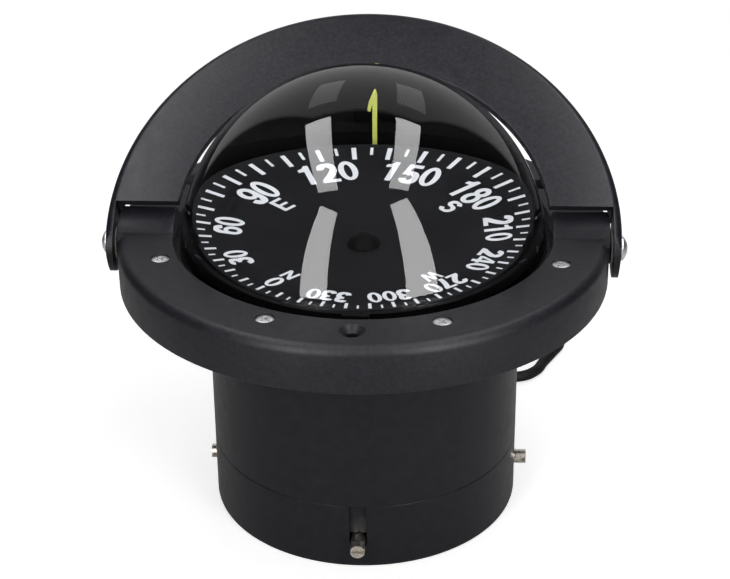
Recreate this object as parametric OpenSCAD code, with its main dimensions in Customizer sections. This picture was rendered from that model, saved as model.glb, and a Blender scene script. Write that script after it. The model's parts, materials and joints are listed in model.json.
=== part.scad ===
// Flush-mount marine compass with a fluid-filled dome, a raised sun-shield hood,
// an internally gimballed card, two adjusting rods and a night-light cable.
// Front is -Y, up is +Z. The origin is the centre of the flange's underside.

/* [Bezel] */
// Radial width of the flange outside the dome
flange_w = 21.8; // [21:0.1:26]
// Height of the bezel's front top above the panel
bezel_h = 17; // [16:0.1:20]
// Wall of the bezel's outer skirt
bezel_wall = 3.2; // [2.4:0.1:3.6]
// Thickness of the bezel's top plate
bezel_top_t = 4; // [3:0.1:5]
// Rounding of the bezel's outer top edge
edge_round = 3.6; // [1:0.1:3.8]
// Gap between the dome and the bezel's bore
bore_gap = 2.1; // [1.6:0.1:3]
// Thickness of the lip that presses on the dome's flange
lip_t = 3; // [2:0.1:3.2]
// Height of the two side blocks above the front top
step_h = 4.2; // [3.6:0.1:6]
// Length of the ramp at the front of each side block
ramp_run = 11.4; // [8:0.1:13]
// Head diameter of the four bezel screws
screw_head_d = 6.3; // [5:0.1:6.6]
// Bore of the three mounting holes
mount_hole_d = 4.4; // [3.4:0.1:4.8]
// Mouth of the mounting holes' countersinks
sink_d = 8.8; // [6.5:0.1:9]

/* [Barrel] */
// How much smaller the barrel's radius is than the dome's
barrel_step = 9.2; // [8.4:0.1:11]
// Depth of the barrel below the flange
barrel_depth = 90; // [84:0.5:110]
// Wall of the barrel
barrel_wall = 2.6; // [2:0.1:3.2]
// Height of the lower cup
cup_h = 25.4; // [23:0.1:28]
// Thickness of the flange plate inside the bezel
plate_t = 3; // [2.6:0.1:3.6]
// Width of the cup's open slots
slot_w = 6.2; // [5.8:0.1:8]

/* [Dome and bowl] */
// Outer diameter of the dome
dome_d = 130.4; // [126:0.2:135]
// Wall of the dome
dome_wall = 3; // [2:0.1:4]
// Height of the dome's centre above the panel
dome_z = 9; // [8.4:0.1:10]
// Wall of the bowl
bowl_wall = 2.2; // [1.6:0.1:3]
// Gap between the swinging cradle and the diaphragm below it
bowl_under_gap = 3.6; // [3:0.1:6]

/* [Card and gimbals] */
// Thickness of the card
card_t = 0.8; // [0.5:0.1:1.2]
// Height of the card's top above the dome's centre
card_rise = 0.8; // [0.5:0.1:1.5]
// Height of the card's hub above the card
hub_rise = 3.2; // [2:0.1:5]
// Height of the lubber post's tip above the gimbal ring
lubber_h = 6.7; // [5:0.1:9]
// Thickness of the gimbal ring, measured radially
ring_t = 2.4; // [2:0.1:3]
// Height of the gimbal ring
ring_h = 3; // [2.8:0.1:4]

/* [Hood] */
// Angle of the hood above its closed position
hood_angle = 35.6; // [0:0.1:100]
// Thickness of the hood's face
hood_t = 3; // [2.4:0.1:3.4]
// Thickness of the hood's rim wall and ears
hood_wall = 3; // [2.4:0.1:4]
// Height of the hood's rim wall
hood_rim_h = 12.4; // [10:0.1:14]
// Gap between the hood and the dome
hood_gap = 0.9; // [0.6:0.1:1.5]
// Pivot's distance in front of the compass centre
pivot_fwd = 2; // [0:0.1:4]
// Pivot's height above the panel
pivot_z = 10.8; // [10:0.1:11.5]
// Head diameter of the pivot screws
pivot_head_d = 8.8; // [8:0.1:10]

/* [Adjusting rods] */
// Diameter of the two adjusting rods
rod_d = 5.1; // [4:0.1:5.4]
// Height of the athwart rod's axis above the barrel's bottom
rod_h = 11.6; // [11:0.1:13]
// How much lower the fore-and-aft rod lies
rod_drop = 1; // [0:0.1:2]
// How far the rods stand out of the cup at the sides
rod_out = 4.3; // [2:0.1:6]
// How far the fore-and-aft rod stands out at the front
rod_front_out = 6; // [4:0.1:9]

/* [Cable] */
// Diameter of the lighting cable
cable_d = 4.4; // [3.6:0.1:5]

/* [Hidden] */

$fn = 96;
over = 1;             // overrun of cuts through faces
fit = 0.1;            // assembly clearance of fixed pieces
running = 0.06;       // radial clearance of turning fits

// Bezel, worked out
dome_r = dome_d / 2;
bore_r = dome_r + bore_gap;
flange_r = dome_r + flange_w;
skirt_in_r = flange_r - bezel_wall;
lip_r = bore_r + lip_t;
lip_edge_round = 1;
block_top_z = bezel_h + step_h;
boss_r = 3;
boss_lip_gap = 0.3;
screw_ring_r = lip_r + boss_lip_gap + boss_r;
screw_angles = [-69, -23, 23, 69];      // from the front, towards +X
screw_shank_r = 1.5;
screw_head_h = 1.9;
screw_sunk = 0.4;
screw_pocket_gap = 0.2;
screw_pocket_r = screw_head_d / 2 + screw_pocket_gap;
screw_engage = 7;
recess_w = 0.9;
recess_share = 0.62;                    // length of the cross recess in head diameters
recess_deep = 1.1;
mount_boss_wall = 2.3;
mount_boss_r = mount_hole_d / 2 + mount_boss_wall;
mount_lip_gap = 0.6;
mount_ring_r = lip_r + mount_lip_gap + mount_boss_r;
mount_angles = [0, 120, 240];
sink_deep = (sink_d - mount_hole_d) / 2;

// Heights of the stack that the lip clamps
bowl_flange_t = 1.9;
seal_t = 0.8;
dome_flange_t = 2.5;
gasket_t = 2.1;
gasket_rise = 2.2;
bowl_flange_z = plate_t + bowl_flange_t;
dome_flange_z = bowl_flange_z + seal_t;
gasket_z = dome_flange_z + dome_flange_t;
lip_z = gasket_z + gasket_t + fit;
capsule_r = lip_r - fit;

// Barrel, worked out
barrel_r = dome_r - barrel_step;
barrel_in_r = barrel_r - barrel_wall;
seam_gap = 0.2;
seam_edge = 0.5;                         // bevel on both edges of the seam
seam_z = -(barrel_depth - cup_h);
spigot_t = 2.1;
spigot_h = 5.4;
spigot_root = 2.4;
cup_floor_t = 2.5;
cup_round = 1.2;
lead_gap = 2;
bowl_out_r = barrel_in_r - lead_gap;
bowl_in_r = bowl_out_r - bowl_wall;
plate_gap = 0.3;

// Gimbals and card, worked out
ring_bowl_gap = 0.8;
ring_out_r = bowl_in_r - ring_bowl_gap;
ring_in_r = ring_out_r - ring_t;
cradle_gap = 0.6;
cradle_t = 1.4;
cradle_w = 8;
cradle_ear = 3;
cradle_out_r = ring_in_r - cradle_gap;
cradle_in_r = cradle_out_r - cradle_t;
card_edge_gap = 0.7;
card_r = cradle_in_r - card_edge_gap;
card_z = dome_z + card_rise;
card_low_z = card_z - card_t;
trunnion_r = 1.2;
lug_t = 3.4;
lug_w = 8.4;
lug_gap = 1.4;
lug_y = ring_out_r + lug_gap;
lug_top = 2.8;
cradle_pin_r = 1;
pad_r = 6;
pad_t = 2;
cradle_low_z = dome_z - cradle_in_r;
pad_top_z = cradle_low_z + pad_t;
post_r = 2.2;
post_top_r = 1.2;
pin_r = 0.5;
pin_out = 2.4;
pin_seat = 3;
pin_tip_gap = 0.1;
jewel_r = 1.6;
jewel_t = 1.2;
jewel_cone_r = 0.8;
jewel_cone_h = 0.6;
pivot_top_z = dome_z;
hub_r = 4.2;
hub_bore_r = 2.6;
hub_skirt_r = 5;
float_r = 16;
float_h = 5.5;
float_z = card_low_z - float_h;
magnet_l = 30;
magnet_w = 5;
magnet_h = 4;
magnet_x = 8.5;
ballast_r = 13;
ballast_h = 6;
lubber_w = 1.1;
lubber_t = 1.5;
lubber_foot_w = 3;
lubber_foot_h = 1.2;
hook_drop = 3.3;
hook_out = 0.9;

// Hood, worked out
pivot_y = -pivot_fwd;
swing_r = 13;                            // radius of the blocks' round backs about the pivot
swing_gap = 0.4;
land = 1.2;
block_back_y = pivot_y + sqrt(pow(swing_r, 2) - pow(block_top_z - pivot_z, 2));
ramp_top_y = block_back_y - land;
ramp_front_y = ramp_top_y - ramp_run;
hood_low_z = block_top_z - hood_t;
hood_edge_y = pivot_y + sqrt(pow(swing_r + swing_gap, 2) - pow(hood_low_z - pivot_z, 2));
hood_in_r = dome_r + hood_gap;
rim_gap = 0.9;
rim_in_r = flange_r + rim_gap;
hood_out_r = rim_in_r + hood_wall;
hood_round = 3;
hood_inner_round = 0.8;
rim_low_z = block_top_z - hood_rim_h;
ear_r = block_top_z - pivot_z;
ear_gap = 0.95;
ear_in_x = flange_r + ear_gap;
pad_out = 0.3;
pivot_pad_r = 5.5;
washer_r = 6;
washer_x = flange_r + pad_out + fit / 2;
washer_t = ear_in_x - washer_x - fit;
insert_r = 3.2;
insert_l = 8;
pivot_boss_r = 6.4;
pivot_boss_l = 9;
shoulder_r = 2.5;
thread_r = 2;
thread_l = 7;
bush_r = 3.5;
head_gap = 0.15;
pivot_head_h = 2.4;
pivot_head_edge = 0.6;

// Bowl's underside
bowl_slope = 12;                         // width and height of the bowl's sloping corner
mouth_in = 18.4;                         // from the sloping corner inwards to the mouth
mouth_r = bowl_out_r - bowl_slope - mouth_in;
diaphragm_edge = 5;
diaphragm_r = mouth_r + diaphragm_edge;
diaphragm_t = 0.8;
diaphragm_rise = 6;
bowl_bottom_z = dome_z - cradle_out_r - bowl_under_gap - diaphragm_rise;
clamp_t = 2.1;
plug_hole_r = 2.6;
plug_head_r = 4.5;
plug_gap = 2;
plug_ring_r = diaphragm_r + plug_gap + plug_head_r;
plug_head_h = 2;
plug_seal_t = 0.5;
plug_l = 6;
plug_slot_w = 1;
plug_boss_r = 5;
plug_boss_h = 2;

// Adjusting rods
rod_r = rod_d / 2;
rod_z = -barrel_depth + rod_h;
fore_rod_z = rod_z - rod_drop;
slot_in_rod_w = 1;
slot_in_rod_deep = 1.8;
collar_r = 3.8;
collar_t = 2;
bearing_t = 8;
bearing_w = 11;
bearing_above = 4;
fore_bearing_t = 4;
frame_r_gap = 3.2;
frame_r = barrel_in_r - frame_r_gap;
bearing_in = 12.2;                       // of the athwart bearings from the frame's edge
bearing_x = frame_r - bearing_in;
frame_t = 2;
floor_z = -barrel_depth + cup_floor_t;
frame_z = floor_z + fit;
rod_magnet_r = 4.6;
rod_magnet_l = 28;
fore_rod_gap = 4.4;
fore_rod_end = -(rod_magnet_r + fore_rod_gap);
fore_bearing_in = 4;
fore_bearing_y = fore_rod_end - fore_bearing_in;
fore_far_in = 7.2;                       // of the front bearing from the frame's edge
fore_far_bearing_y = -(frame_r - fore_far_in);
fore_magnet_gap = 1.9;

// Night light and its wires
lamp_angle = 46;                         // from the front, towards +X
lamp_r = 2.4;
lamp_l = 5.6;
lamp_gap = 0.4;
lamp_axis_z = 7.2;
holder_w = 9;
holder_l = 5;
holder_h = 8.4;
holder_out_r = capsule_r + lamp_gap + lamp_l / 2 + holder_l;
lead_r = 0.8;
lead_bead_r = lead_r + fit;              // round corners of the wires' run
lead_wall_gap = 1;
lead_ring_r = skirt_in_r - lead_wall_gap - lead_r;
lead_edge_r = lead_ring_r + lead_bead_r + fit;
lead_ring_z = plate_t + lead_bead_r + fit;
lead_top_z = lead_ring_z + lead_bead_r + fit;
lead_groove_z = plate_t - lead_r - 2 * fit;
lead_groove_w = 2.4;
lead_drop_r = (barrel_in_r + bowl_out_r) / 2;
lead_turn_drop = 4;
lead_turn_z = bowl_bottom_z + bowl_slope - lead_turn_drop;
lead_step = 4.4;
cable_angle = 22;                        // from the back, towards +X
cable_r = cable_d / 2;
gland_h = 9;
gland_z = -barrel_depth + gland_h;
gland_len = 10;
gland_r = 4.2;
gland_tip_r = 3;
gland_head_r = 5.4;
gland_head_t = 1.5;
gland_seat_y = sqrt(pow(barrel_in_r, 2) - pow(gland_head_r, 2)) - fit;
gland_out_r = barrel_r + gland_len;
gland_x = sin(cable_angle);
gland_y = cos(cable_angle);

// Cable's route: from the gland down to the surface the compass stands on, then one loose
// curve round behind the barrel
cable_route = [
    [24.8, 61.2, -81], [26.6, 65.8, -81.6], [30, 71.2, -83.6], [36, 75, -86], [44, 76.2, -87.6],
    [53, 74.6, -87.8], [61, 74.8, -87.8], [67, 79.4, -87.8], [70.6, 87, -87.8], [74.6, 95, -87.8],
    [78, 103, -87.8], [77, 111.6, -87.8], [70, 117, -87.8], [61, 118.2, -87.8], [52, 115.4, -87.8],
    [44, 110.8, -87.8], [35.4, 107.4, -87.8], [26.2, 107, -87.8], [17, 108.6, -87.8],
    [8, 110.6, -87.8], [-1.2, 111, -87.8], [-10, 109.2, -87.8], [-18, 105, -87.8], [-25, 99.2, -87.8]];
cable_sides = 10;
tail_len = 26;
tail_r = 0.8;
tail_side = 1;
tail_gap = 0.2;
tail_spread = 9;                         // degrees between each free wire and the cable's end

// Screw frame: runs its children at a place on a circle about the axis, measured from the front
module at_ring(angle, radius) {
    rotate([0, 0, angle]) translate([0, -radius, 0]) children();
}

// A rod along X from x0 to x1
module rod_x(radius, x0, x1) {
    translate([x0, 0, 0]) rotate([0, 90, 0]) cylinder(r = radius, h = x1 - x0);
}

// A rod along Y from y0 to y1
module rod_y(radius, y0, y1) {
    translate([0, y0, 0]) rotate([-90, 0, 0]) cylinder(r = radius, h = y1 - y0);
}

// A tube about the axis from z0 to z1
module tube(outer, inner, z0, z1) {
    translate([0, 0, z0]) difference() {
        cylinder(r = outer, h = z1 - z0);
        translate([0, 0, -over]) cylinder(r = inner, h = z1 - z0 + 2 * over);
    }
}

// Points of a quarter round, for outlines
function quarter(cx, cy, radius, a0, a1, steps = 6) =
    [for (i = [0:steps]) let (a = a0 + (a1 - a0) * i / steps)
        [cx + radius * cos(a), cy + radius * sin(a)]];

// Both sides of the compass
module both_sides() {
    for (s = [0, 1]) mirror([s, 0, 0]) children();
}

// Places its children on the hood's pivot axis
module at_pivot() {
    translate([0, pivot_y, pivot_z]) children();
}

// Outline of the bezel's wall, top plate and lip
module bezel_profile() {
    polygon(concat(
        [[skirt_in_r, 0], [flange_r, 0]],
        quarter(flange_r - edge_round, bezel_h - edge_round, edge_round, 0, 90),
        quarter(bore_r + lip_edge_round, bezel_h - lip_edge_round, lip_edge_round, 90, 180),
        [[bore_r, lip_z], [lip_r, lip_z], [lip_r, bezel_h - bezel_top_t],
         [skirt_in_r, bezel_h - bezel_top_t]]));
}

// Outline that the two side blocks are turned to
module block_profile() {
    polygon(concat(
        [[bore_r, bezel_h - bezel_top_t], [flange_r, bezel_h - bezel_top_t]],
        quarter(flange_r - edge_round, block_top_z - edge_round, edge_round, 0, 90),
        quarter(bore_r + lip_edge_round, block_top_z - lip_edge_round, lip_edge_round, 90, 180)));
}

// Side view of a block: ramp in front, flat top, back rounded about the pivot
module block_side() {
    intersection() {
        translate([pivot_y, pivot_z]) circle(r = swing_r);
        polygon([[ramp_front_y, bezel_h - lip_edge_round], [ramp_front_y, bezel_h],
            [ramp_top_y, block_top_z], [pivot_y + swing_r, block_top_z],
            [pivot_y + swing_r, bezel_h - lip_edge_round]]);
    }
}

module side_block() {
    intersection() {
        rotate_extrude() block_profile();
        translate([bore_r - bore_gap - over, 0, 0]) rotate([90, 0, 90])
            linear_extrude(height = flange_r) block_side();
    }
}

module bezel_ring() {
    color("#3a3a3d") difference() {
        union() {
            rotate_extrude() bezel_profile();
            both_sides() side_block();
            // Bosses round the pivot inserts
            intersection() {
                at_pivot() both_sides()
                    rod_x(pivot_boss_r, flange_r - pivot_boss_l, flange_r - bezel_wall / 2);
                translate([0, 0, lead_top_z]) cylinder(r = flange_r, h = bezel_h);
            }
            at_pivot() both_sides()
                rod_x(pivot_pad_r, flange_r - bezel_wall / 2, flange_r + pad_out);
            // Sleeves round the mounting holes
            for (a = mount_angles) at_ring(a, mount_ring_r)
                translate([0, 0, plate_t + fit])
                    cylinder(r = mount_boss_r, h = bezel_h - plate_t - fit - edge_round / 2);
        }
        for (a = screw_angles) at_ring(a, screw_ring_r) {
            translate([0, 0, bezel_h - bezel_top_t - over])
                cylinder(r = screw_shank_r + fit, h = bezel_top_t + over);
            translate([0, 0, bezel_h - screw_sunk - screw_head_h])
                cylinder(r = screw_pocket_r, h = screw_head_h + screw_sunk + over);
        }
        for (a = mount_angles) at_ring(a, mount_ring_r) {
            translate([0, 0, -over]) cylinder(d = mount_hole_d, h = bezel_h + 2 * over);
            translate([0, 0, bezel_h - sink_deep])
                cylinder(d1 = mount_hole_d, d2 = sink_d, h = sink_deep);
        }
        at_pivot() both_sides()
            rod_x(insert_r + running, flange_r + pad_out - insert_l - fit, flange_r + pad_out + over);
    }
}

// 45 degree cut along the barrel's outer edge at a height, upwards with way 1, downwards with -1
module seam_cut(z, way) {
    reach = seam_edge + over;
    rotate_extrude() polygon([[barrel_r - reach, z - way * over], [barrel_r + over, z - way * over],
        [barrel_r + over, z + way * reach]]);
}

module housing_can() {
    color("#2c2c2e") difference() {
        union() {
            tube(skirt_in_r - plate_gap, barrel_in_r, 0, plate_t);
            tube(barrel_r, barrel_in_r, seam_z + seam_gap, plate_t);
            tube(barrel_r - fit, barrel_in_r - spigot_t, seam_z + seam_gap, seam_z + spigot_root);
            tube(barrel_in_r - fit, barrel_in_r - spigot_t, seam_z - spigot_h, seam_z + spigot_root);
            for (a = screw_angles) at_ring(a, screw_ring_r)
                cylinder(r = boss_r, h = bezel_h - bezel_top_t - fit);
        }
        for (a = screw_angles) at_ring(a, screw_ring_r)
            translate([0, 0, bezel_h - bezel_top_t - screw_engage - fit])
                cylinder(r = screw_shank_r + running, h = screw_engage + over);
        for (a = mount_angles) at_ring(a, mount_ring_r)
            translate([0, 0, -over]) cylinder(d = mount_hole_d, h = plate_t + 2 * over);
        seam_cut(seam_z + seam_gap, 1);
        // Groove that brings the lamp's wires inwards
        at_ring(180 - cable_angle, 0)
            translate([-lead_groove_w / 2, -lead_edge_r, lead_groove_z - lead_bead_r - fit])
                cube([lead_groove_w, lead_edge_r - barrel_in_r + over, plate_t]);
    }
}

module bottom_cup() {
    color("#2c2c2e") difference() {
        rotate_extrude() polygon(concat(
            [[0, -barrel_depth]],
            quarter(barrel_r - cup_round, -barrel_depth + cup_round, cup_round, -90, 0),
            [[barrel_r, seam_z], [barrel_in_r, seam_z], [barrel_in_r, floor_z], [0, floor_z]]));
        seam_cut(seam_z, -1);
        // Open slots over the rods
        for (a = [90, 270]) rotate([0, 0, a]) rod_slot(rod_z);
        rod_slot(fore_rod_z);
        at_ring(180 - cable_angle, 0) translate([0, 0, gland_z])
            rod_y(gland_r + fit, -barrel_r - over, -frame_r);
    }
}

// A slot in the front wall that runs from a rod's axis up through the cup's rim
module rod_slot(axis_z) {
    slot_l = barrel_r + over - frame_r;
    translate([0, 0, axis_z]) {
        rod_y(slot_w / 2, -barrel_r - over, -frame_r);
        translate([-slot_w / 2, -barrel_r - over, 0]) cube([slot_w, slot_l, seam_z - axis_z + over]);
    }
}

module dome() {
    color([0.75, 0.8, 0.85, 0.35]) difference() {
        union() {
            intersection() {
                translate([0, 0, dome_z]) sphere(r = dome_r);
                translate([0, 0, gasket_z]) cylinder(r = flange_r, h = dome_d);
            }
            translate([0, 0, dome_flange_z]) cylinder(r = capsule_r, h = dome_flange_t);
        }
        translate([0, 0, dome_z]) sphere(r = dome_r - dome_wall);
    }
}

module dome_seal() {
    color("#1b1b1b") tube(capsule_r - fit, capsule_r - dome_wall, bowl_flange_z, dome_flange_z);
}

module dome_gasket() {
    color("#141414") union() {
        tube(capsule_r, dome_r + plate_gap, gasket_z, gasket_z + gasket_t);
        tube(bore_r - fit, dome_r + plate_gap, gasket_z, gasket_z + gasket_t + gasket_rise);
    }
}

module bowl() {
    color("#1e1e20") difference() {
        union() {
            rotate_extrude() polygon([
                [bowl_in_r, bowl_flange_z], [capsule_r, bowl_flange_z], [capsule_r, plate_t],
                [bowl_out_r, plate_t], [bowl_out_r, bowl_bottom_z + bowl_slope],
                [bowl_out_r - bowl_slope, bowl_bottom_z], [mouth_r, bowl_bottom_z],
                [mouth_r, bowl_bottom_z + bowl_wall],
                [bowl_in_r - bowl_slope + bowl_wall / 2, bowl_bottom_z + bowl_wall],
                [bowl_in_r, bowl_bottom_z + bowl_slope + bowl_wall / 2]]);
            // Lugs for the gimbal ring's trunnions
            for (a = [0, 180]) at_ring(a, lug_y + lug_t)
                translate([-lug_w / 2, 0, bowl_flange_z - bowl_flange_t / 2])
                    cube([lug_w, lug_t, dome_z + lug_top - bowl_flange_z + bowl_flange_t / 2]);
            at_ring(0, plug_ring_r) translate([0, 0, bowl_bottom_z])
                cylinder(r = plug_boss_r, h = bowl_wall + plug_boss_h);
        }
        translate([0, 0, dome_z])
            rod_y(trunnion_r + running / 2, -lug_y - lug_t - over, lug_y + lug_t + over);
        at_ring(0, plug_ring_r) translate([0, 0, bowl_bottom_z - over])
            cylinder(r = plug_hole_r + running, h = bowl_wall + plug_boss_h + 2 * over);
    }
}

module expansion_diaphragm() {
    fold = (mouth_r - diaphragm_t) / 4;
    low = bowl_bottom_z - diaphragm_t;
    color("#262626") rotate_extrude() polygon([
        [0, low], [fold, low], [2 * fold, low + diaphragm_rise], [3 * fold, low + diaphragm_rise],
        [mouth_r - diaphragm_t, low], [diaphragm_r, low], [diaphragm_r, bowl_bottom_z],
        [mouth_r - diaphragm_t / 2, bowl_bottom_z],
        [3 * fold + diaphragm_t / 2, bowl_bottom_z + diaphragm_rise],
        [2 * fold - diaphragm_t / 2, bowl_bottom_z + diaphragm_rise],
        [fold - diaphragm_t / 2, bowl_bottom_z], [0, bowl_bottom_z]]);
}

module diaphragm_ring() {
    color("#3b3b3e") tube(diaphragm_r + fit, mouth_r, bowl_bottom_z - diaphragm_t - clamp_t,
        bowl_bottom_z - diaphragm_t);
}

module filler_plug() {
    color("#b08d45") at_ring(0, plug_ring_r) translate([0, 0, bowl_bottom_z - plug_seal_t])
        difference() {
            union() {
                translate([0, 0, -plug_head_h]) cylinder(r = plug_head_r, h = plug_head_h);
                cylinder(r = plug_hole_r, h = plug_l);
            }
            translate([-plug_head_r - over, -plug_slot_w / 2, -plug_head_h - over])
                cube([2 * (plug_head_r + over), plug_slot_w, plug_head_h / 2 + over]);
        }
}

module filler_seal() {
    color("#1b1b1b") at_ring(0, plug_ring_r)
        tube(plug_head_r, plug_hole_r + running, bowl_bottom_z - plug_seal_t, bowl_bottom_z);
}

// Cross recess of a screw head, cut downwards from z = 0
module cross_recess(head_d) {
    for (a = [0, 90]) rotate([0, 0, a])
        translate([-head_d * recess_share / 2, -recess_w / 2, -recess_deep])
            cube([head_d * recess_share, recess_w, recess_deep + over]);
}

module bezel_screws() {
    dish = 0.3;
    head_r = screw_head_d / 2;
    color("#b9b9bb") for (a = screw_angles) at_ring(a, screw_ring_r)
        translate([0, 0, bezel_h - screw_sunk]) difference() {
            union() {
                rotate_extrude() polygon([[0, 0], [head_r * recess_share, 0], [head_r, -dish],
                    [head_r, -screw_head_h + fit], [0, -screw_head_h + fit]]);
                translate([0, 0, -bezel_top_t - screw_engage + screw_sunk + over])
                    cylinder(r = screw_shank_r, h = bezel_top_t + screw_engage - screw_head_h);
            }
            rotate([0, 0, a]) cross_recess(screw_head_d);
        }
}

module gimbal_trunnions() {
    color("#b08d45") translate([0, 0, dome_z]) for (a = [0, 180]) rotate([0, 0, a])
        rod_y(trunnion_r, ring_in_r + fit, lug_y + lug_t);
}

module pivot_inserts() {
    color("#b08d45") at_pivot() both_sides() difference() {
        rod_x(insert_r, flange_r + pad_out - insert_l, flange_r + pad_out);
        rod_x(thread_r + running, flange_r + pad_out - thread_l - 2 * fit, flange_r + pad_out + over);
    }
}

module friction_washers() {
    color("#d8d8d2") at_pivot() both_sides() difference() {
        rod_x(washer_r, washer_x, washer_x + washer_t);
        rod_x(shoulder_r + fit, washer_x - over, washer_x + washer_t + over);
    }
}

module hood_screws() {
    head_x = hood_out_r + head_gap;
    head_r = pivot_head_d / 2;
    crown_h = pivot_head_h - pivot_head_edge;
    crown_r = (pow(head_r, 2) + pow(crown_h, 2)) / (2 * crown_h);
    color("#c9c9cc") at_pivot() both_sides() {
        rod_x(thread_r, flange_r + pad_out - thread_l, flange_r + pad_out + fit);
        rod_x(shoulder_r, flange_r + pad_out + fit / 2, head_x + fit);
        difference() {
            translate([head_x, 0, 0]) rotate([0, 90, 0]) intersection() {
                cylinder(r = head_r, h = pivot_head_h);
                translate([0, 0, pivot_head_h - crown_r]) sphere(r = crown_r);
            }
            translate([head_x + pivot_head_h, 0, 0]) rotate([0, 90, 0]) cross_recess(pivot_head_d);
        }
    }
}

module compensator_frame() {
    bearing_top = rod_z + bearing_above;
    color("#39393c") difference() {
        union() {
            translate([0, 0, frame_z]) cylinder(r = frame_r, h = frame_t);
            both_sides() translate([bearing_x - bearing_t / 2, -bearing_w / 2, frame_z])
                cube([bearing_t, bearing_w, bearing_top - frame_z]);
            for (y = [fore_bearing_y, fore_far_bearing_y])
                translate([-bearing_w / 2, y - fore_bearing_t / 2, frame_z])
                    cube([bearing_w, fore_bearing_t, bearing_top - frame_z]);
        }
        translate([0, 0, rod_z]) rod_x(rod_r + running, -barrel_r, barrel_r);
        translate([0, 0, fore_rod_z]) rod_y(rod_r + running, -barrel_r, 0);
    }
}

module lamp_holder() {
    color("#2a2a2c") at_ring(lamp_angle, holder_out_r)
        translate([0, 0, plate_t]) difference() {
            translate([-holder_w / 2, 0, 0]) cube([holder_w, holder_l, holder_h]);
            translate([0, 0, lamp_axis_z - plate_t]) rod_y(lamp_r + fit, over, holder_l + over);
        }
}

module lamp() {
    color([0.9, 0.9, 0.85]) at_ring(lamp_angle, capsule_r + lamp_gap)
        translate([0, 0, lamp_axis_z]) {
            rod_y(lamp_r, -lamp_l, -lamp_r);
            translate([0, -lamp_r, 0]) sphere(r = lamp_r);
        }
}

// Wires from the lamp round the bezel's hollow, in through the groove and down to the gland
module lamp_lead() {
    run_angle = 180 - cable_angle - lamp_angle;
    low_r = lead_drop_r - lead_step;
    $fn = 24;
    color("#8a1f1f") union() {
        at_ring(lamp_angle, 0) translate([0, 0, lead_ring_z]) {
            rod_y(lead_r, -lead_ring_r, -holder_out_r);
            translate([0, -lead_ring_r, 0]) sphere(r = lead_bead_r);
        }
        rotate([0, 0, lamp_angle - 90]) translate([0, 0, lead_ring_z])
            rotate_extrude(angle = run_angle) translate([lead_ring_r, 0]) circle(r = lead_r);
        at_ring(180 - cable_angle, 0) {
            translate([0, -lead_ring_r, lead_ring_z]) sphere(r = lead_bead_r);
            translate([0, -lead_ring_r, lead_groove_z])
                cylinder(r = lead_r, h = lead_ring_z - lead_groove_z);
            translate([0, -lead_ring_r, lead_groove_z]) sphere(r = lead_bead_r);
            translate([0, 0, lead_groove_z]) rod_y(lead_r, -lead_ring_r, -lead_drop_r);
            translate([0, -lead_drop_r, lead_groove_z]) sphere(r = lead_bead_r);
            translate([0, -lead_drop_r, lead_turn_z])
                cylinder(r = lead_r, h = lead_groove_z - lead_turn_z);
            translate([0, -lead_drop_r, lead_turn_z]) sphere(r = lead_bead_r);
            translate([0, -low_r, lead_turn_z - lead_step]) rotate([45, 0, 0])
                cylinder(r = lead_r, h = lead_step * sqrt(2));
            translate([0, -low_r, lead_turn_z - lead_step]) sphere(r = lead_bead_r);
            translate([0, -low_r, gland_z]) cylinder(r = lead_r, h = lead_turn_z - lead_step - gland_z);
            translate([0, -low_r, gland_z]) sphere(r = lead_bead_r);
            translate([0, 0, gland_z])
                rod_y(lead_r, -gland_seat_y + gland_head_t + fit, -low_r);
        }
    }
}

module cable_gland() {
    color("#161616") at_ring(180 - cable_angle, 0) translate([0, 0, gland_z]) {
        rod_y(gland_head_r, -gland_seat_y, -gland_seat_y + gland_head_t);
        rod_y(gland_r, -barrel_r - fit, -gland_seat_y + gland_head_t);
        translate([0, -gland_out_r, 0]) rotate([-90, 0, 0])
            cylinder(r1 = gland_tip_r, r2 = gland_r, h = gland_len);
    }
}

function unit(v) = v / norm(v);

function route_dir(p, i) = let (last = len(p) - 1)
    unit(p[min(i + 1, last)] - p[max(i - 1, 0)]);

// One tube along a route: a ring of points at each point of the route, closed at both ends
module route_tube(p, radius, sides) {
    count = len(p);
    rings = [for (i = [0:count - 1]) let (
        t = i == 0 ? [gland_x, gland_y, 0] : route_dir(p, i),
        u = unit(cross(t, [0, 0, 1])), v = cross(u, t))
        for (k = [0:sides - 1]) let (a = 360 * (k + 0.5) / sides)
            p[i] + radius * (cos(a) * u + sin(a) * v)];
    walls = [for (i = [0:count - 2]) for (k = [0:sides - 1]) let (
        a = i * sides + k, b = i * sides + (k + 1) % sides)
        each [[a, b, b + sides], [a, b + sides, a + sides]]];
    start_cap = [for (k = [1:sides - 2]) [0, k + 1, k]];
    end_cap = [for (k = [1:sides - 2]) let (e = (count - 1) * sides) [e, e + k, e + k + 1]];
    polyhedron(points = rings, faces = concat(walls, start_cap, end_cap), convexity = 8);
}

module lighting_cable() {
    color("#101010") route_tube(cable_route, cable_r, cable_sides);
}

// One free wire from the cable's end, lying down to the surface
module tail_wire(side) {
    last = cable_route[len(cable_route) - 1];
    back = cable_route[len(cable_route) - 2];
    run = unit(last - back);
    heading = atan2(run[1], run[0]);
    drop = cable_r - tail_r;
    translate(last) rotate([0, 0, heading]) translate([tail_gap, side * tail_side, 0])
        rotate([0, 0, side * tail_spread]) rotate([0, 90 + asin(drop / tail_len), 0])
            cylinder(r = tail_r, h = tail_len, $fn = 16);
}

module red_lead() {
    color("#a02020") tail_wire(-1);
}

module black_lead() {
    color("#101010") tail_wire(1);
}

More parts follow.
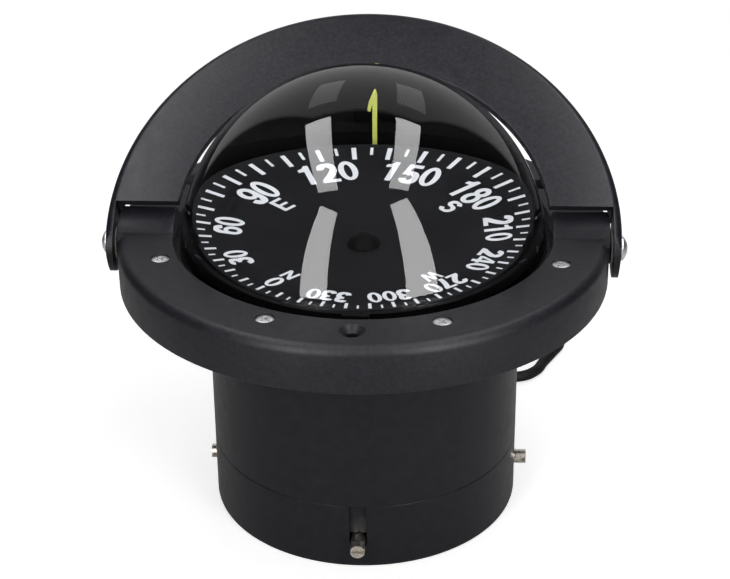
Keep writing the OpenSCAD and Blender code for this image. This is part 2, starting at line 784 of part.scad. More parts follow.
// Hood's cross-section when closed: face plate with a rounded outer edge and a rim wall
module hood_profile() {
    polygon(concat(
        [[rim_in_r, rim_low_z], [hood_out_r, rim_low_z]],
        quarter(hood_out_r - hood_round, block_top_z - hood_round, hood_round, 0, 90),
        quarter(hood_in_r + hood_inner_round, block_top_z - hood_inner_round, hood_inner_round,
            90, 180, 3),
        [[hood_in_r, hood_low_z], [rim_in_r, hood_low_z]]));
}

// Side view of an ear: round about the pivot, running back into the rim wall
module ear_side() {
    union() {
        translate([pivot_y, pivot_z]) circle(r = ear_r);
        translate([pivot_y, rim_low_z])
            square([hood_edge_y - pivot_y + hood_wall, block_top_z - rim_low_z]);
    }
}

// Rounded outer body that the ears are cut from
module ear_body() {
    rotate_extrude() polygon(concat(
        [[0, pivot_z - ear_r], [hood_out_r - hood_round, pivot_z - ear_r]],
        quarter(hood_out_r - hood_round, pivot_z - ear_r + hood_round, hood_round, -90, 0),
        quarter(hood_out_r - hood_round, block_top_z - hood_round, hood_round, 0, 90),
        [[0, block_top_z]]));
}

module hood_closed() {
    difference() {
        union() {
            intersection() {
                rotate_extrude() hood_profile();
                translate([-2 * hood_out_r, hood_edge_y, -over])
                    cube([4 * hood_out_r, 2 * hood_out_r, block_top_z + 2 * over]);
            }
            both_sides() intersection() {
                ear_body();
                translate([ear_in_x, 0, 0]) rotate([90, 0, 90])
                    linear_extrude(height = hood_wall + over) ear_side();
            }
        }
        at_pivot() both_sides()
            rod_x(bush_r + running / 2, ear_in_x - over, hood_out_r + over);
    }
}

// Turns a closed hood piece up to its resting angle
module raised() {
    at_pivot() rotate([hood_angle, 0, 0]) translate([0, -pivot_y, -pivot_z]) children();
}

module hood() {
    color("#4a4a4e") raised() hood_closed();
}

module hood_bushes() {
    color("#e6e2d4") raised() at_pivot() both_sides() difference() {
        rod_x(bush_r, ear_in_x, hood_out_r - fit / 2);
        rod_x(shoulder_r + running, ear_in_x - over, hood_out_r + over);
    }
}

module gimbal_ring() {
    color("#18181a") translate([0, 0, dome_z]) difference() {
        tube(ring_out_r, ring_in_r, -ring_h / 2, ring_h / 2);
        rod_y(trunnion_r + running, -ring_out_r - over, ring_out_r + over);
        rod_x(cradle_pin_r + running / 2, -ring_out_r - over, ring_out_r + over);
    }
}

// Yellow post at the back of the ring, with a tip that hooks down
module lubber_line() {
    base_z = dome_z + ring_h / 2;
    mid_r = (ring_in_r + ring_out_r) / 2;
    half = lubber_w / 2;
    color("#d8d860") translate([0, mid_r + lubber_t / 2, base_z]) rotate([90, 0, 0])
        linear_extrude(height = lubber_t) polygon([
            [-lubber_foot_w / 2, 0], [lubber_foot_w / 2, 0], [lubber_foot_w / 2, lubber_foot_h],
            [half, lubber_foot_h], [half, lubber_h - lubber_w], [half / 2, lubber_h],
            [-half / 2, lubber_h], [-half - hook_out, lubber_h - hook_drop],
            [-half - hook_out / 3, lubber_h - hook_drop - lubber_w / 4],
            [-half, lubber_h - hook_drop + lubber_w], [-half, lubber_foot_h],
            [-lubber_foot_w / 2, lubber_foot_h]]);
}

module cradle_pins() {
    color("#b08d45") translate([0, 0, dome_z]) both_sides()
        rod_x(cradle_pin_r, cradle_in_r + fit, ring_out_r);
}

module cradle() {
    rise = asin(cradle_ear / cradle_in_r);
    color("#222224") translate([0, 0, dome_z]) difference() {
        union() {
            rotate([90, 0, 0]) rotate([0, 0, 180 - rise]) rotate_extrude(angle = 180 + 2 * rise)
                translate([cradle_in_r, -cradle_w / 2]) square([cradle_t, cradle_w]);
            translate([0, 0, -cradle_in_r - cradle_t / 2]) cylinder(r = pad_r, h = pad_t + cradle_t / 2);
        }
        rod_x(cradle_pin_r + running, -cradle_out_r - over, cradle_out_r + over);
    }
}

module pivot_post() {
    pin_low = pivot_top_z - pin_tip_gap - pin_out - pin_seat;
    top = pin_low + pin_seat;
    taper = 3 * pin_seat;
    color("#b08d45") difference() {
        union() {
            translate([0, 0, pad_top_z]) cylinder(r = post_r, h = top - taper - pad_top_z);
            translate([0, 0, top - taper]) cylinder(r1 = post_r, r2 = post_top_r, h = taper);
        }
        translate([0, 0, pin_low]) cylinder(r = pin_r + running / 2, h = pin_seat + over, $fn = 32);
    }
}

module pivot_pin() {
    low = pivot_top_z - pin_tip_gap - pin_out - pin_seat;
    color("#c9c9cc") translate([0, 0, low]) {
        cylinder(r = pin_r, h = pin_seat + pin_out - pin_r, $fn = 32);
        translate([0, 0, pin_seat + pin_out - pin_r])
            cylinder(r1 = pin_r, r2 = pin_r / 5, h = pin_r, $fn = 32);
    }
}

module ballast() {
    color("#6d6f72") tube(ballast_r, post_r + running / 2, pad_top_z, pad_top_z + ballast_h);
}

module dial_card() {
    color("#101012") tube(card_r, hub_skirt_r, card_low_z, card_z);
}

module card_hub() {
    top = card_z + hub_rise;
    cap_r = (pow(hub_r, 2) + pow(hub_rise, 2)) / (2 * hub_rise);
    color("#141416") difference() {
        union() {
            tube(float_r, hub_bore_r, float_z, card_low_z);
            tube(hub_skirt_r, hub_bore_r, card_low_z - over, card_z);
            intersection() {
                translate([0, 0, card_z]) cylinder(r = hub_r, h = hub_rise);
                translate([0, 0, top - cap_r]) sphere(r = cap_r);
            }
            translate([0, 0, pivot_top_z]) cylinder(r = hub_bore_r + over, h = card_z - pivot_top_z);
        }
        translate([0, 0, pivot_top_z - jewel_cone_h])
            cylinder(r = jewel_r + running / 2, h = jewel_t + jewel_cone_h);
    }
}

module jewel_cup() {
    color("#8c2b4a") difference() {
        translate([0, 0, pivot_top_z - jewel_cone_h + fit])
            cylinder(r = jewel_r, h = jewel_t + jewel_cone_h - 2 * fit);
        translate([0, 0, pivot_top_z - jewel_cone_h])
            cylinder(r1 = jewel_cone_r, r2 = pin_r / 2, h = jewel_cone_h);
    }
}

module card_magnets() {
    color("#85868a") both_sides()
        translate([magnet_x - magnet_w / 2, -magnet_l / 2, float_z - magnet_h])
            cube([magnet_w, magnet_l, magnet_h]);
}

// Screwdriver slot across a rod's end, in the rod's own frame with the end at x = 0
module rod_slot_cut() {
    translate([-slot_in_rod_deep, -rod_r - over, -slot_in_rod_w / 2])
        cube([slot_in_rod_deep + over, 2 * (rod_r + over), slot_in_rod_w]);
}

module athwart_rod() {
    end_x = barrel_r + rod_out;
    left_x = barrel_r + rod_out / 2;
    collar_x = bearing_x - bearing_t / 2 - collar_t - fit;
    color("#c2b49a") translate([0, 0, rod_z]) difference() {
        union() {
            rod_x(rod_r, -left_x, end_x);
            both_sides() rod_x(collar_r, collar_x, collar_x + collar_t);
        }
        translate([end_x, 0, 0]) rod_slot_cut();
        translate([-left_x, 0, 0]) mirror([1, 0, 0]) rod_slot_cut();
    }
}

module athwart_magnet() {
    color("#85868a") translate([0, 0, rod_z]) difference() {
        rod_x(rod_magnet_r, -rod_magnet_l / 2, rod_magnet_l / 2);
        rod_x(rod_r + running / 2, -rod_magnet_l, rod_magnet_l);
    }
}

module fore_aft_rod() {
    end_y = -barrel_r - rod_front_out;
    collar_y = fore_far_bearing_y + fore_bearing_t / 2 + fit;
    color("#c2b49a") translate([0, 0, fore_rod_z]) difference() {
        union() {
            rod_y(rod_r, end_y, fore_rod_end);
            rod_y(collar_r, collar_y, collar_y + collar_t);
        }
        translate([0, end_y, 0]) rotate([0, 0, -90]) rod_slot_cut();
    }
}

module fore_aft_magnet() {
    front_y = fore_far_bearing_y + fore_bearing_t / 2 + fit + collar_t + fore_magnet_gap;
    back_y = fore_bearing_y - fore_bearing_t / 2 - fore_magnet_gap;
    color("#85868a") translate([0, 0, fore_rod_z]) difference() {
        rod_y(rod_magnet_r, front_y, back_y);
        rod_y(rod_r + running / 2, front_y - over, back_y + over);
    }
}

bezel_ring();
housing_can();
bottom_cup();
dome();
dome_seal();
dome_gasket();
bowl();
expansion_diaphragm();
diaphragm_ring();
filler_plug();
filler_seal();
bezel_screws();
gimbal_trunnions();
pivot_inserts();
friction_washers();
hood_screws();
compensator_frame();
lamp_holder();
lamp();
lamp_lead();
cable_gland();
lighting_cable();
red_lead();
black_lead();
hood();
hood_bushes();
gimbal_ring();
lubber_line();
cradle_pins();
cradle();
pivot_post();
pivot_pin();
ballast();
dial_card();
card_hub();
jewel_cup();
card_magnets();
athwart_rod();
athwart_magnet();
fore_aft_rod();
fore_aft_magnet();
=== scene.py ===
import json
import math

import bpy
from mathutils import Matrix, Vector


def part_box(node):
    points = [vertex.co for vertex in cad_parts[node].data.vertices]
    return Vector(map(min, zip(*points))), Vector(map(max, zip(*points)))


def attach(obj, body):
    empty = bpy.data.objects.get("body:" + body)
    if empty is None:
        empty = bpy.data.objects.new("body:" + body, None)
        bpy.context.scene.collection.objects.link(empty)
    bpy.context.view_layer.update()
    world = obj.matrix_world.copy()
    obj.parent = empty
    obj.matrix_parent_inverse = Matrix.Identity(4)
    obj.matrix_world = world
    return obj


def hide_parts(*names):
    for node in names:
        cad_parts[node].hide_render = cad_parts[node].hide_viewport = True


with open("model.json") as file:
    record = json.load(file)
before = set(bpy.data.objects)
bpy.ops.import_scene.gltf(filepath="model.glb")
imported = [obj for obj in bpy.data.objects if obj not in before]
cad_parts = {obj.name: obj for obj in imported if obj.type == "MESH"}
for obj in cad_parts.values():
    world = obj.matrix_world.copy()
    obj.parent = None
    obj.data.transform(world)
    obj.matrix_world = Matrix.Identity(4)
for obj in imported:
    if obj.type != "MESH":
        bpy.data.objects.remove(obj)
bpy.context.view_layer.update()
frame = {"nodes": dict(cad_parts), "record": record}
print("frame loaded with", len(frame["nodes"]), "nodes")

mm = 0.001
overrun = 1 * mm                          # how far a cutting tool reaches past what it cuts
up = Vector((0, 0, 1))
joints = {joint["name"]: joint for joint in frame["record"]["behaviour"]["joints"]}
material = bpy.data.materials


# Places and sizes that come from the frame

def low(node):
    return Vector(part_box(node)[0])


def high(node):
    return Vector(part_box(node)[1])


pivot = Vector(joints["hood_hinge"]["pos_m"])
raisedAngle = -math.radians(joints["hood_hinge"]["range_deg"][0])     # closed is the joint's low end
domeZ = joints["gimbal_roll"]["pos_m"][2]
domeR = high("dome").z - domeZ
flangeR = high("bezel_ring").y
blockTopZ = high("bezel_ring").z
barrelR = high("bottom_cup").x
floorZ = low("bottom_cup").z
seamZ = high("bottom_cup").z
cardR = high("dial_card").x
cardZ = high("dial_card").z
athwartZ = joints["athwart_rod_turn"]["pos_m"][2]
foreAftZ = joints["fore_aft_rod_turn"]["pos_m"][2]


# Small helpers, used by every piece

weld = 0.002 * mm                         # points closer than this are one


def clearPick():
    if bpy.context.mode != "OBJECT":
        bpy.ops.object.mode_set(mode="OBJECT")
    bpy.ops.object.select_all(action="DESELECT")


def pick(*pieces):
    clearPick()
    for piece in pieces:
        piece.select_set(True)
    bpy.context.view_layer.objects.active = pieces[0]


def named(name):                          # the object that an operator has just added
    piece = bpy.context.object
    piece.name = name
    piece.data.name = name
    return piece


def settle(piece):                        # its place goes into its mesh
    pick(piece)
    bpy.ops.object.transform_apply(location=True, rotation=True, scale=True)
    return piece


def editAll(piece):
    pick(piece)
    bpy.ops.object.mode_set(mode="EDIT")
    bpy.ops.mesh.select_all(action="SELECT")


def tidyShell(piece):                     # one closed skin that faces outwards
    editAll(piece)
    bpy.ops.mesh.remove_doubles(threshold=weld)
    bpy.ops.mesh.normals_make_consistent(inside=False)
    bpy.ops.object.mode_set(mode="OBJECT")
    return piece


def smooth(piece, angle=32):
    pick(piece)
    bpy.ops.object.shade_smooth_by_angle(angle=math.radians(angle))
    return piece


def applyAll(piece):
    pick(piece)
    for modifier in list(piece.modifiers):
        bpy.ops.object.modifier_apply(modifier=modifier.name)
    return piece


def cut(piece, tool, how="DIFFERENCE"):
    boolean = piece.modifiers.new("cut", "BOOLEAN")
    boolean.operation = how
    boolean.object = tool
    boolean.solver = "EXACT"
    applyAll(piece)
    bpy.data.objects.remove(tool)
    return piece


def easeEdges(piece, width, segments=2, angle=40):
    bevel = piece.modifiers.new("edges", "BEVEL")
    bevel.width = width
    bevel.segments = segments
    bevel.limit_method = "ANGLE"
    bevel.angle_limit = math.radians(angle)
    bevel.harden_normals = True
    return applyAll(smooth(piece))


def duplicate(piece, name):               # a copy with a mesh of its own
    pick(piece)
    bpy.ops.object.duplicate(linked=False)
    return named(name)


def joinAll(pieces, name):
    pick(*pieces)
    if len(pieces) > 1:
        bpy.ops.object.join()
    return named(name)


def rounded(corners, steps=8):            # corners are (across, height, radius), arcs meet both sides
    points = []
    count = len(corners)
    for i, (x, z, radius) in enumerate(corners):
        here = Vector((x, z))
        if radius == 0:
            points.append(here)
            continue
        back = (Vector(corners[i - 1][:2]) - here).normalized()
        ahead = (Vector(corners[(i + 1) % count][:2]) - here).normalized()
        half = back.angle(ahead) / 2
        centre = here + (back + ahead).normalized() * radius / math.sin(half)
        first = here + back * radius / math.tan(half) - centre
        last = here + ahead * radius / math.tan(half) - centre
        turn = first.angle_signed(last)
        for step in range(steps + 1):
            arm = first.copy()
            arm.rotate(Matrix.Rotation(-turn * step / steps, 2))
            points.append(centre + arm)
    return points


def drawOutline(name, points):            # one vertex, extruded from point to point and closed
    clearPick()
    bpy.ops.mesh.primitive_plane_add(size=mm)
    piece = named(name)
    bpy.ops.object.mode_set(mode="EDIT")
    bpy.ops.mesh.select_all(action="SELECT")
    bpy.ops.mesh.merge(type="CENTER")
    bpy.ops.transform.translate(value=points[0])
    for here, there in zip(points, points[1:]):
        bpy.ops.mesh.extrude_vertices_move(TRANSFORM_OT_translate={"value": there - here})
    bpy.ops.object.mode_set(mode="OBJECT")
    piece.data.vertices[0].select = True
    bpy.ops.object.mode_set(mode="EDIT")
    bpy.ops.mesh.edge_face_add()
    bpy.ops.mesh.select_all(action="SELECT")
    return piece


def spun(name, corners, steps=192):       # outline turned about the Z axis
    points = [Vector((p.x, 0, p.y)) for p in rounded(corners)]
    piece = drawOutline(name, points)
    bpy.ops.mesh.spin(steps=steps, angle=math.tau, center=(0, 0, 0), axis=(0, 0, 1))
    bpy.ops.object.mode_set(mode="OBJECT")
    return tidyShell(piece)


def slab(name, points, across):           # closed outline, filled and pulled along a vector
    piece = drawOutline(name, points)
    bpy.ops.mesh.edge_face_add()
    bpy.ops.mesh.extrude_region_move(TRANSFORM_OT_translate={"value": across})
    bpy.ops.object.mode_set(mode="OBJECT")
    return tidyShell(piece)


def rod(name, radius, start, end, sides=64):           # closed cylinder between two points
    clearPick()
    run = end - start
    bpy.ops.mesh.primitive_cylinder_add(
        vertices=sides, radius=radius, depth=run.length, location=(start + end) / 2,
        rotation=run.to_track_quat("Z", "Y").to_euler())
    return settle(named(name))


def brick(name, lowCorner, highCorner):
    clearPick()
    bpy.ops.mesh.primitive_cube_add(size=1, location=(lowCorner + highCorner) / 2)
    piece = named(name)
    piece.scale = highCorner - lowCorner
    return settle(piece)


def placed(piece, matrix):                # turned and moved as an object, then settled
    piece.matrix_world = matrix @ piece.matrix_world
    return settle(piece)


def raised(piece):                        # turned up with the hood about its pivot
    turn = Matrix.Translation(pivot) @ Matrix.Rotation(raisedAngle, 4, "X") @ Matrix.Translation(-pivot)
    return placed(piece, turn)


def wear(piece, finish):                  # one material all over
    piece.data.materials.clear()
    piece.data.materials.append(finish)
    return piece


def seat(piece, body, slotName, finish, *nodes):       # finished: rides and stands for nodes
    wear(piece, finish)
    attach(piece, body)
    if nodes:
        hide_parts(*nodes)
    return piece


# Finishes: each is a Principled shader with noise in its colour, roughness and relief

def newFinish(name, colour, roughness, metallic=0.0, ior=1.5, specular=0.5):
    finish = material.new(name)
    finish.use_nodes = True
    shader = finish.node_tree.nodes["Principled BSDF"]
    shader.inputs["Base Color"].default_value = (*colour, 1)
    shader.inputs["Roughness"].default_value = roughness
    shader.inputs["Metallic"].default_value = metallic
    shader.inputs["IOR"].default_value = ior
    shader.inputs["Specular IOR Level"].default_value = specular
    return finish


def noise(finish, scale, detail=3.0, stretch=(1, 1, 1)):   # on Object coordinates, through a Mapping node
    nodes, links = finish.node_tree.nodes, finish.node_tree.links
    place = nodes.new("ShaderNodeTexCoord")
    mapping = nodes.new("ShaderNodeMapping")
    mapping.inputs["Scale"].default_value = stretch
    texture = nodes.new("ShaderNodeTexNoise")
    texture.inputs["Scale"].default_value = scale
    texture.inputs["Detail"].default_value = detail
    links.new(place.outputs["Object"], mapping.inputs["Vector"])
    links.new(mapping.outputs["Vector"], texture.inputs["Vector"])
    return texture.outputs["Fac"]


def vary(finish, socket, source, lowest, highest):         # noise spread between two values of a socket
    nodes, links = finish.node_tree.nodes, finish.node_tree.links
    spread = nodes.new("ShaderNodeMapRange")
    spread.inputs["From Min"].default_value = 0.3
    spread.inputs["From Max"].default_value = 0.7
    spread.inputs["To Min"].default_value = lowest
    spread.inputs["To Max"].default_value = highest
    links.new(source, spread.inputs["Value"])
    links.new(spread.outputs["Result"], nodes["Principled BSDF"].inputs[socket])


def tint(finish, source, darker, lighter):                 # noise spread between two colours
    nodes, links = finish.node_tree.nodes, finish.node_tree.links
    ramp = nodes.new("ShaderNodeValToRGB")
    ramp.color_ramp.elements[0].position = 0.32
    ramp.color_ramp.elements[1].position = 0.68
    ramp.color_ramp.elements[0].color = (*darker, 1)
    ramp.color_ramp.elements[1].color = (*lighter, 1)
    links.new(source, ramp.inputs["Fac"])
    links.new(ramp.outputs["Color"], nodes["Principled BSDF"].inputs["Base Color"])


def relief(finish, source, depth, strength=1.0):           # noise as a height in metres
    nodes, links = finish.node_tree.nodes, finish.node_tree.links
    bump = nodes.new("ShaderNodeBump")
    bump.inputs["Distance"].default_value = depth
    bump.inputs["Strength"].default_value = strength
    links.new(source, bump.inputs["Height"])
    links.new(bump.outputs["Normal"], nodes["Principled BSDF"].inputs["Normal"])


# The grain's scale and depth make the relief, the speckle is the scale of the colour's noise
def mouldedPlastic(name, darker, lighter, roughness, grain, depth, specular=0.5, speckle=60, ior=1.5):
    finish = newFinish(name, lighter, roughness[0], ior=ior, specular=specular)
    tint(finish, noise(finish, speckle, 4), darker, lighter)
    vary(finish, "Roughness", noise(finish, 240, 4), *roughness)
    relief(finish, noise(finish, grain, 4), depth)
    return finish


def softRubber(name, colour, roughness=0.62):
    finish = newFinish(name, colour, roughness, specular=0.12)
    tint(finish, noise(finish, 300, 3), [c * 0.8 for c in colour], [c * 1.3 for c in colour])
    vary(finish, "Roughness", noise(finish, 500), roughness - 0.08, roughness + 0.08)
    relief(finish, noise(finish, 1800, 2), 0.02 * mm)
    return finish


def turnedMetal(name, darker, lighter, roughness, stretch=(1, 1, 1), depth=0.004 * mm):
    finish = newFinish(name, lighter, roughness, metallic=1.0)
    tint(finish, noise(finish, 700, 3, stretch), darker, lighter)
    vary(finish, "Roughness", noise(finish, 1200, 3, stretch), roughness - 0.07, roughness + 0.1)
    relief(finish, noise(finish, 2600, 2, stretch), depth)
    return finish


def clearShell(name, ior):                # glass that lets the lamps' light straight through
    finish = newFinish(name, (1, 1, 1), 0.0, ior=ior)
    nodes, links = finish.node_tree.nodes, finish.node_tree.links
    shader = nodes["Principled BSDF"]
    shader.inputs["Transmission Weight"].default_value = 1.0
    path = nodes.new("ShaderNodeLightPath")
    through = nodes.new("ShaderNodeBsdfTransparent")
    mix = nodes.new("ShaderNodeMixShader")
    links.new(path.outputs["Is Shadow Ray"], mix.inputs["Fac"])
    links.new(shader.outputs["BSDF"], mix.inputs[1])
    links.new(through.outputs["BSDF"], mix.inputs[2])
    links.new(mix.outputs["Shader"], nodes["Material Output"].inputs["Surface"])
    return finish


bezelPlastic = mouldedPlastic(
    "bezelPlastic", (0.0038, 0.0038, 0.006), (0.0112, 0.0112, 0.0165), (0.42, 0.5), 1500, 0.02 * mm,
    ior=1.38, speckle=800)
barrelPlastic = mouldedPlastic(
    "barrelPlastic", (0.0098, 0.0098, 0.0122), (0.0142, 0.0142, 0.0176), (0.3, 0.38), 900, 0.008 * mm,
    specular=0.2, speckle=300)
hoodPlastic = mouldedPlastic(
    "hoodPlastic", (0.004, 0.004, 0.0062), (0.0128, 0.0128, 0.0186), (0.35, 0.42), 1400, 0.015 * mm,
    ior=1.335, speckle=800)
# What lies in the fluid has the low index that is left between plastic and fluid
innerPlastic = mouldedPlastic(
    "innerPlastic", (0.002, 0.002, 0.0023), (0.003, 0.003, 0.0034), (0.4, 0.55), 900, 0.01 * mm, ior=1.08)
cardBlack = mouldedPlastic(
    "cardBlack", (0.014, 0.014, 0.0155), (0.018, 0.018, 0.02), (0.6, 0.7), 1600, 0.01 * mm, ior=1.04)
hubBlack = mouldedPlastic(
    "hubBlack", (0.005, 0.005, 0.0056), (0.007, 0.007, 0.008), (0.35, 0.45), 900, 0.006 * mm, ior=1.12)
printWhite = mouldedPlastic(
    "printWhite", (0.72, 0.74, 0.78), (0.78, 0.8, 0.84), (0.5, 0.6), 1600, 0.006 * mm, ior=1.04)
lubberYellow = mouldedPlastic(
    "lubberYellow", (0.6, 0.66, 0.14), (0.7, 0.76, 0.19), (0.4, 0.5), 900, 0.01 * mm, ior=1.08)
nylonWhite = mouldedPlastic("nylonWhite", (0.68, 0.67, 0.6), (0.78, 0.77, 0.7), (0.4, 0.5), 900, 0.01 * mm)
wireRed = mouldedPlastic("wireRed", (0.36, 0.02, 0.02), (0.46, 0.03, 0.03), (0.3, 0.4), 900, 0.008 * mm)
rubyRed = mouldedPlastic("rubyRed", (0.35, 0.02, 0.08), (0.42, 0.03, 0.12), (0.1, 0.2), 900, 0.002 * mm)
lampWhite = mouldedPlastic("lampWhite", (0.7, 0.7, 0.64), (0.82, 0.82, 0.76), (0.15, 0.25), 900, 0.002 * mm)
sealRubber = softRubber("sealRubber", (0.006, 0.006, 0.006))
cableRubber = softRubber("cableRubber", (0.012, 0.012, 0.013), 0.5)
screwSteel = turnedMetal("screwSteel", (0.66, 0.66, 0.67), (0.8, 0.8, 0.81), 0.34)
rodNickel = turnedMetal("rodNickel", (0.66, 0.61, 0.53), (0.76, 0.71, 0.63), 0.3, depth=0.0015 * mm)
brassTurned = turnedMetal("brassTurned", (0.55, 0.38, 0.15), (0.68, 0.5, 0.22), 0.28)
magnetSteel = turnedMetal("magnetSteel", (0.25, 0.25, 0.26), (0.34, 0.34, 0.35), 0.4)
ballastMetal = turnedMetal("ballastMetal", (0.2, 0.2, 0.21), (0.3, 0.3, 0.31), 0.5)
domeClear = clearShell("domeClear", 1.44)
fluidSide = clearShell("fluidSide", 1.0)
print("finishes made")


# Studio: camera, white surroundings, floor and strip lamps

cameraSet = {
    "azimuth": 2.95, "elevation": 28.07, "roll": -0.56,        # degrees
    "distance": 682.8 * mm, "aim": Vector((0.384 * mm, 0, -8.265 * mm)),
    "lens": 93.3, "sensor": 36, "near": 50 * mm,
}


def placeCamera():
    azimuth = math.radians(cameraSet["azimuth"])
    elevation = math.radians(cameraSet["elevation"])
    roll = math.radians(cameraSet["roll"])
    back = Vector((math.sin(azimuth) * math.cos(elevation), -math.cos(azimuth) * math.cos(elevation),
                   math.sin(elevation)))
    level = (-back).cross(up).normalized()
    upright = level.cross(-back)
    right = level * math.cos(roll) + upright * math.sin(roll)
    top = upright * math.cos(roll) - level * math.sin(roll)
    bpy.ops.object.camera_add(location=cameraSet["aim"] + back * cameraSet["distance"])
    camera = named("studioCamera")
    camera.rotation_euler = Matrix((right, top, back)).transposed().to_euler()
    camera.data.lens = cameraSet["lens"]
    camera.data.sensor_width = cameraSet["sensor"]
    camera.data.clip_start = cameraSet["near"]
    bpy.context.scene.camera = camera


def stepNode(nodes, links, operation, first, second):      # Math node, a socket or a number on each side
    step = nodes.new("ShaderNodeMath")
    step.operation = operation
    for socket, source in ((step.inputs[0], first), (step.inputs[1], second)):
        if isinstance(source, (int, float)):
            socket.default_value = source
        else:
            links.new(source, socket)
    return step.outputs["Value"]


def fadeNode(nodes, links, source, fullAt, goneAt):        # 1 up to fullAt, eased down to 0 at goneAt
    fade = nodes.new("ShaderNodeMapRange")
    fade.interpolation_type = "SMOOTHSTEP"
    fade.inputs["From Min"].default_value = fullAt
    fade.inputs["From Max"].default_value = goneAt
    fade.inputs["To Min"].default_value = 1
    fade.inputs["To Max"].default_value = 0
    links.new(source, fade.inputs["Value"])
    return fade.outputs["Result"]


def seenByCamera(nodes, links, path):     # camera rays, also where they have come through glass alone
    bounces = stepNode(nodes, links, "ADD", path.outputs["Diffuse Depth"], path.outputs["Glossy Depth"])
    straight = stepNode(nodes, links, "LESS_THAN", bounces, 0.5)
    glass = stepNode(nodes, links, "MULTIPLY", path.outputs["Is Transmission Ray"], straight)
    return stepNode(nodes, links, "MAXIMUM", path.outputs["Is Camera Ray"], glass)


# Pale backdrop behind the object as its reflections show it, in shares of its distance; the room is dark
worldSet = {"backdrop": 0.5, "room": 0.03, "side": (0.78, 0.92), "top": (1.6, 2.0), "fill": 0.25}


def makeWorld():                          # white to the camera, backdrop and dark room in reflections
    w = worldSet
    world = bpy.data.worlds.new("studioWorld")
    bpy.context.scene.world = world
    world.use_nodes = True
    nodes, links = world.node_tree.nodes, world.node_tree.links
    place = nodes.new("ShaderNodeTexCoord")
    parts = nodes.new("ShaderNodeSeparateXYZ")
    links.new(place.outputs["Generated"], parts.inputs["Vector"])
    ahead = stepNode(nodes, links, "MAXIMUM", parts.outputs["Y"], 0.001)       # never zero, as it divides
    aside = stepNode(nodes, links, "ABSOLUTE", parts.outputs["X"], 0)
    aside = fadeNode(nodes, links, stepNode(nodes, links, "DIVIDE", aside, ahead), *w["side"])
    above = fadeNode(nodes, links, stepNode(nodes, links, "DIVIDE", parts.outputs["Z"], ahead), *w["top"])
    backdrop = stepNode(nodes, links, "MULTIPLY", aside, above)
    backdrop = stepNode(nodes, links, "MULTIPLY", backdrop, w["backdrop"] - w["room"])
    backdrop = stepNode(nodes, links, "ADD", backdrop, w["room"])
    path = nodes.new("ShaderNodeLightPath")
    shown = stepNode(nodes, links, "MULTIPLY", backdrop, path.outputs["Is Glossy Ray"])
    fill = stepNode(nodes, links, "SUBTRACT", 1, path.outputs["Is Glossy Ray"])
    fill = stepNode(nodes, links, "MULTIPLY", fill, w["fill"])
    strength = stepNode(nodes, links, "MAXIMUM", stepNode(nodes, links, "ADD", shown, fill),
                        seenByCamera(nodes, links, path))
    background = nodes["Background"]
    background.inputs["Color"].default_value = (1, 1, 1, 1)
    links.new(strength, background.inputs["Strength"])


floorSet = {"radius": 460 * mm, "under": 0.05 * mm, "glow": 0.66, "colour": (0.78, 0.78, 0.78)}


def makeFloor():                          # pale floor that glows to white and keeps the shadow
    clearPick()
    bpy.ops.mesh.primitive_circle_add(vertices=128, radius=floorSet["radius"], fill_type="NGON",
                                      location=(0, 0, floorZ - floorSet["under"]))
    floor = settle(named("studioFloor"))
    finish = newFinish("floorPale", floorSet["colour"], 0.9, specular=0.0)
    nodes, links = finish.node_tree.nodes, finish.node_tree.links
    shader = nodes["Principled BSDF"]
    shader.inputs["Emission Color"].default_value = (1, 1, 1, 1)
    path = nodes.new("ShaderNodeLightPath")
    glow = stepNode(nodes, links, "MULTIPLY", seenByCamera(nodes, links, path), floorSet["glow"])
    links.new(glow, shader.inputs["Emission Strength"])
    wear(floor, finish)


# Each strip lamp, in mm: centre, where it faces, its long way, width, length, and its reflection's brightness
stripLamps = {
    "frontLeft": {"centre": (-388, -806, 440), "facing": (0.606, 0.795, 0.026), "along": (0, 0, 1),
                  "width": 248, "length": 1040, "shine": 11},
    "frontRight": {"centre": (503, -696, 505), "facing": (-0.621, 0.781, 0.065),
                   "along": (0.035, -0.055, 0.998), "width": 273, "length": 1150, "shine": 11},
    "overLeft": {"centre": (-229, -55, 600), "facing": (0, 0, -1), "along": (-0.03, 1, 0),
                 "width": 148, "length": 580, "shine": 9},
    "overRight": {"centre": (241, -30, 600), "facing": (0, 0, -1), "along": (-0.06, 1, 0),
                  "width": 143, "length": 560, "shine": 9},
    "farLeft": {"centre": (-228, 725, 600), "facing": (0, 0, -1), "along": (0, 1, 0),
                "width": 160, "length": 600, "shine": 0.6},
    "farRight": {"centre": (238, 725, 600), "facing": (0, 0, -1), "along": (0, 1, 0),
                 "width": 170, "length": 600, "shine": 0.6},
}
lampSet = {"spread": 0.5}                 # share of the shine that lights matt surfaces


def hangLamps():                          # each strip twice: for its reflection and for its light
    for name, lamp in stripLamps.items():
        back = -Vector(lamp["facing"]).normalized()
        side = Vector(lamp["along"]).cross(back).normalized()
        turn = Matrix((side, back.cross(side), back)).transposed()
        for use, share in (("Shine", 1), ("Light", lampSet["spread"])):
            bpy.ops.object.light_add(type="AREA", location=Vector(lamp["centre"]) * mm)
            light = named(name + use)
            light.rotation_euler = turn.to_euler()
            light.data.shape = "RECTANGLE"
            light.data.size = lamp["width"] * mm
            light.data.size_y = lamp["length"] * mm
            # brightness of the strip itself, where white paper is 1
            light.data.energy = lamp["shine"] * share * math.pi * lamp["width"] * lamp["length"] * mm * mm
            light.visible_camera = False
            light.visible_diffuse = use == "Light"
            light.visible_glossy = use == "Shine"
            light.visible_transmission = False


placeCamera()
makeWorld()
makeFloor()
hangLamps()
view = bpy.context.scene.view_settings
view.view_transform = "Standard"
print("studio set")


# Lighting cable: out of the gland, down to the surface and round behind the barrel

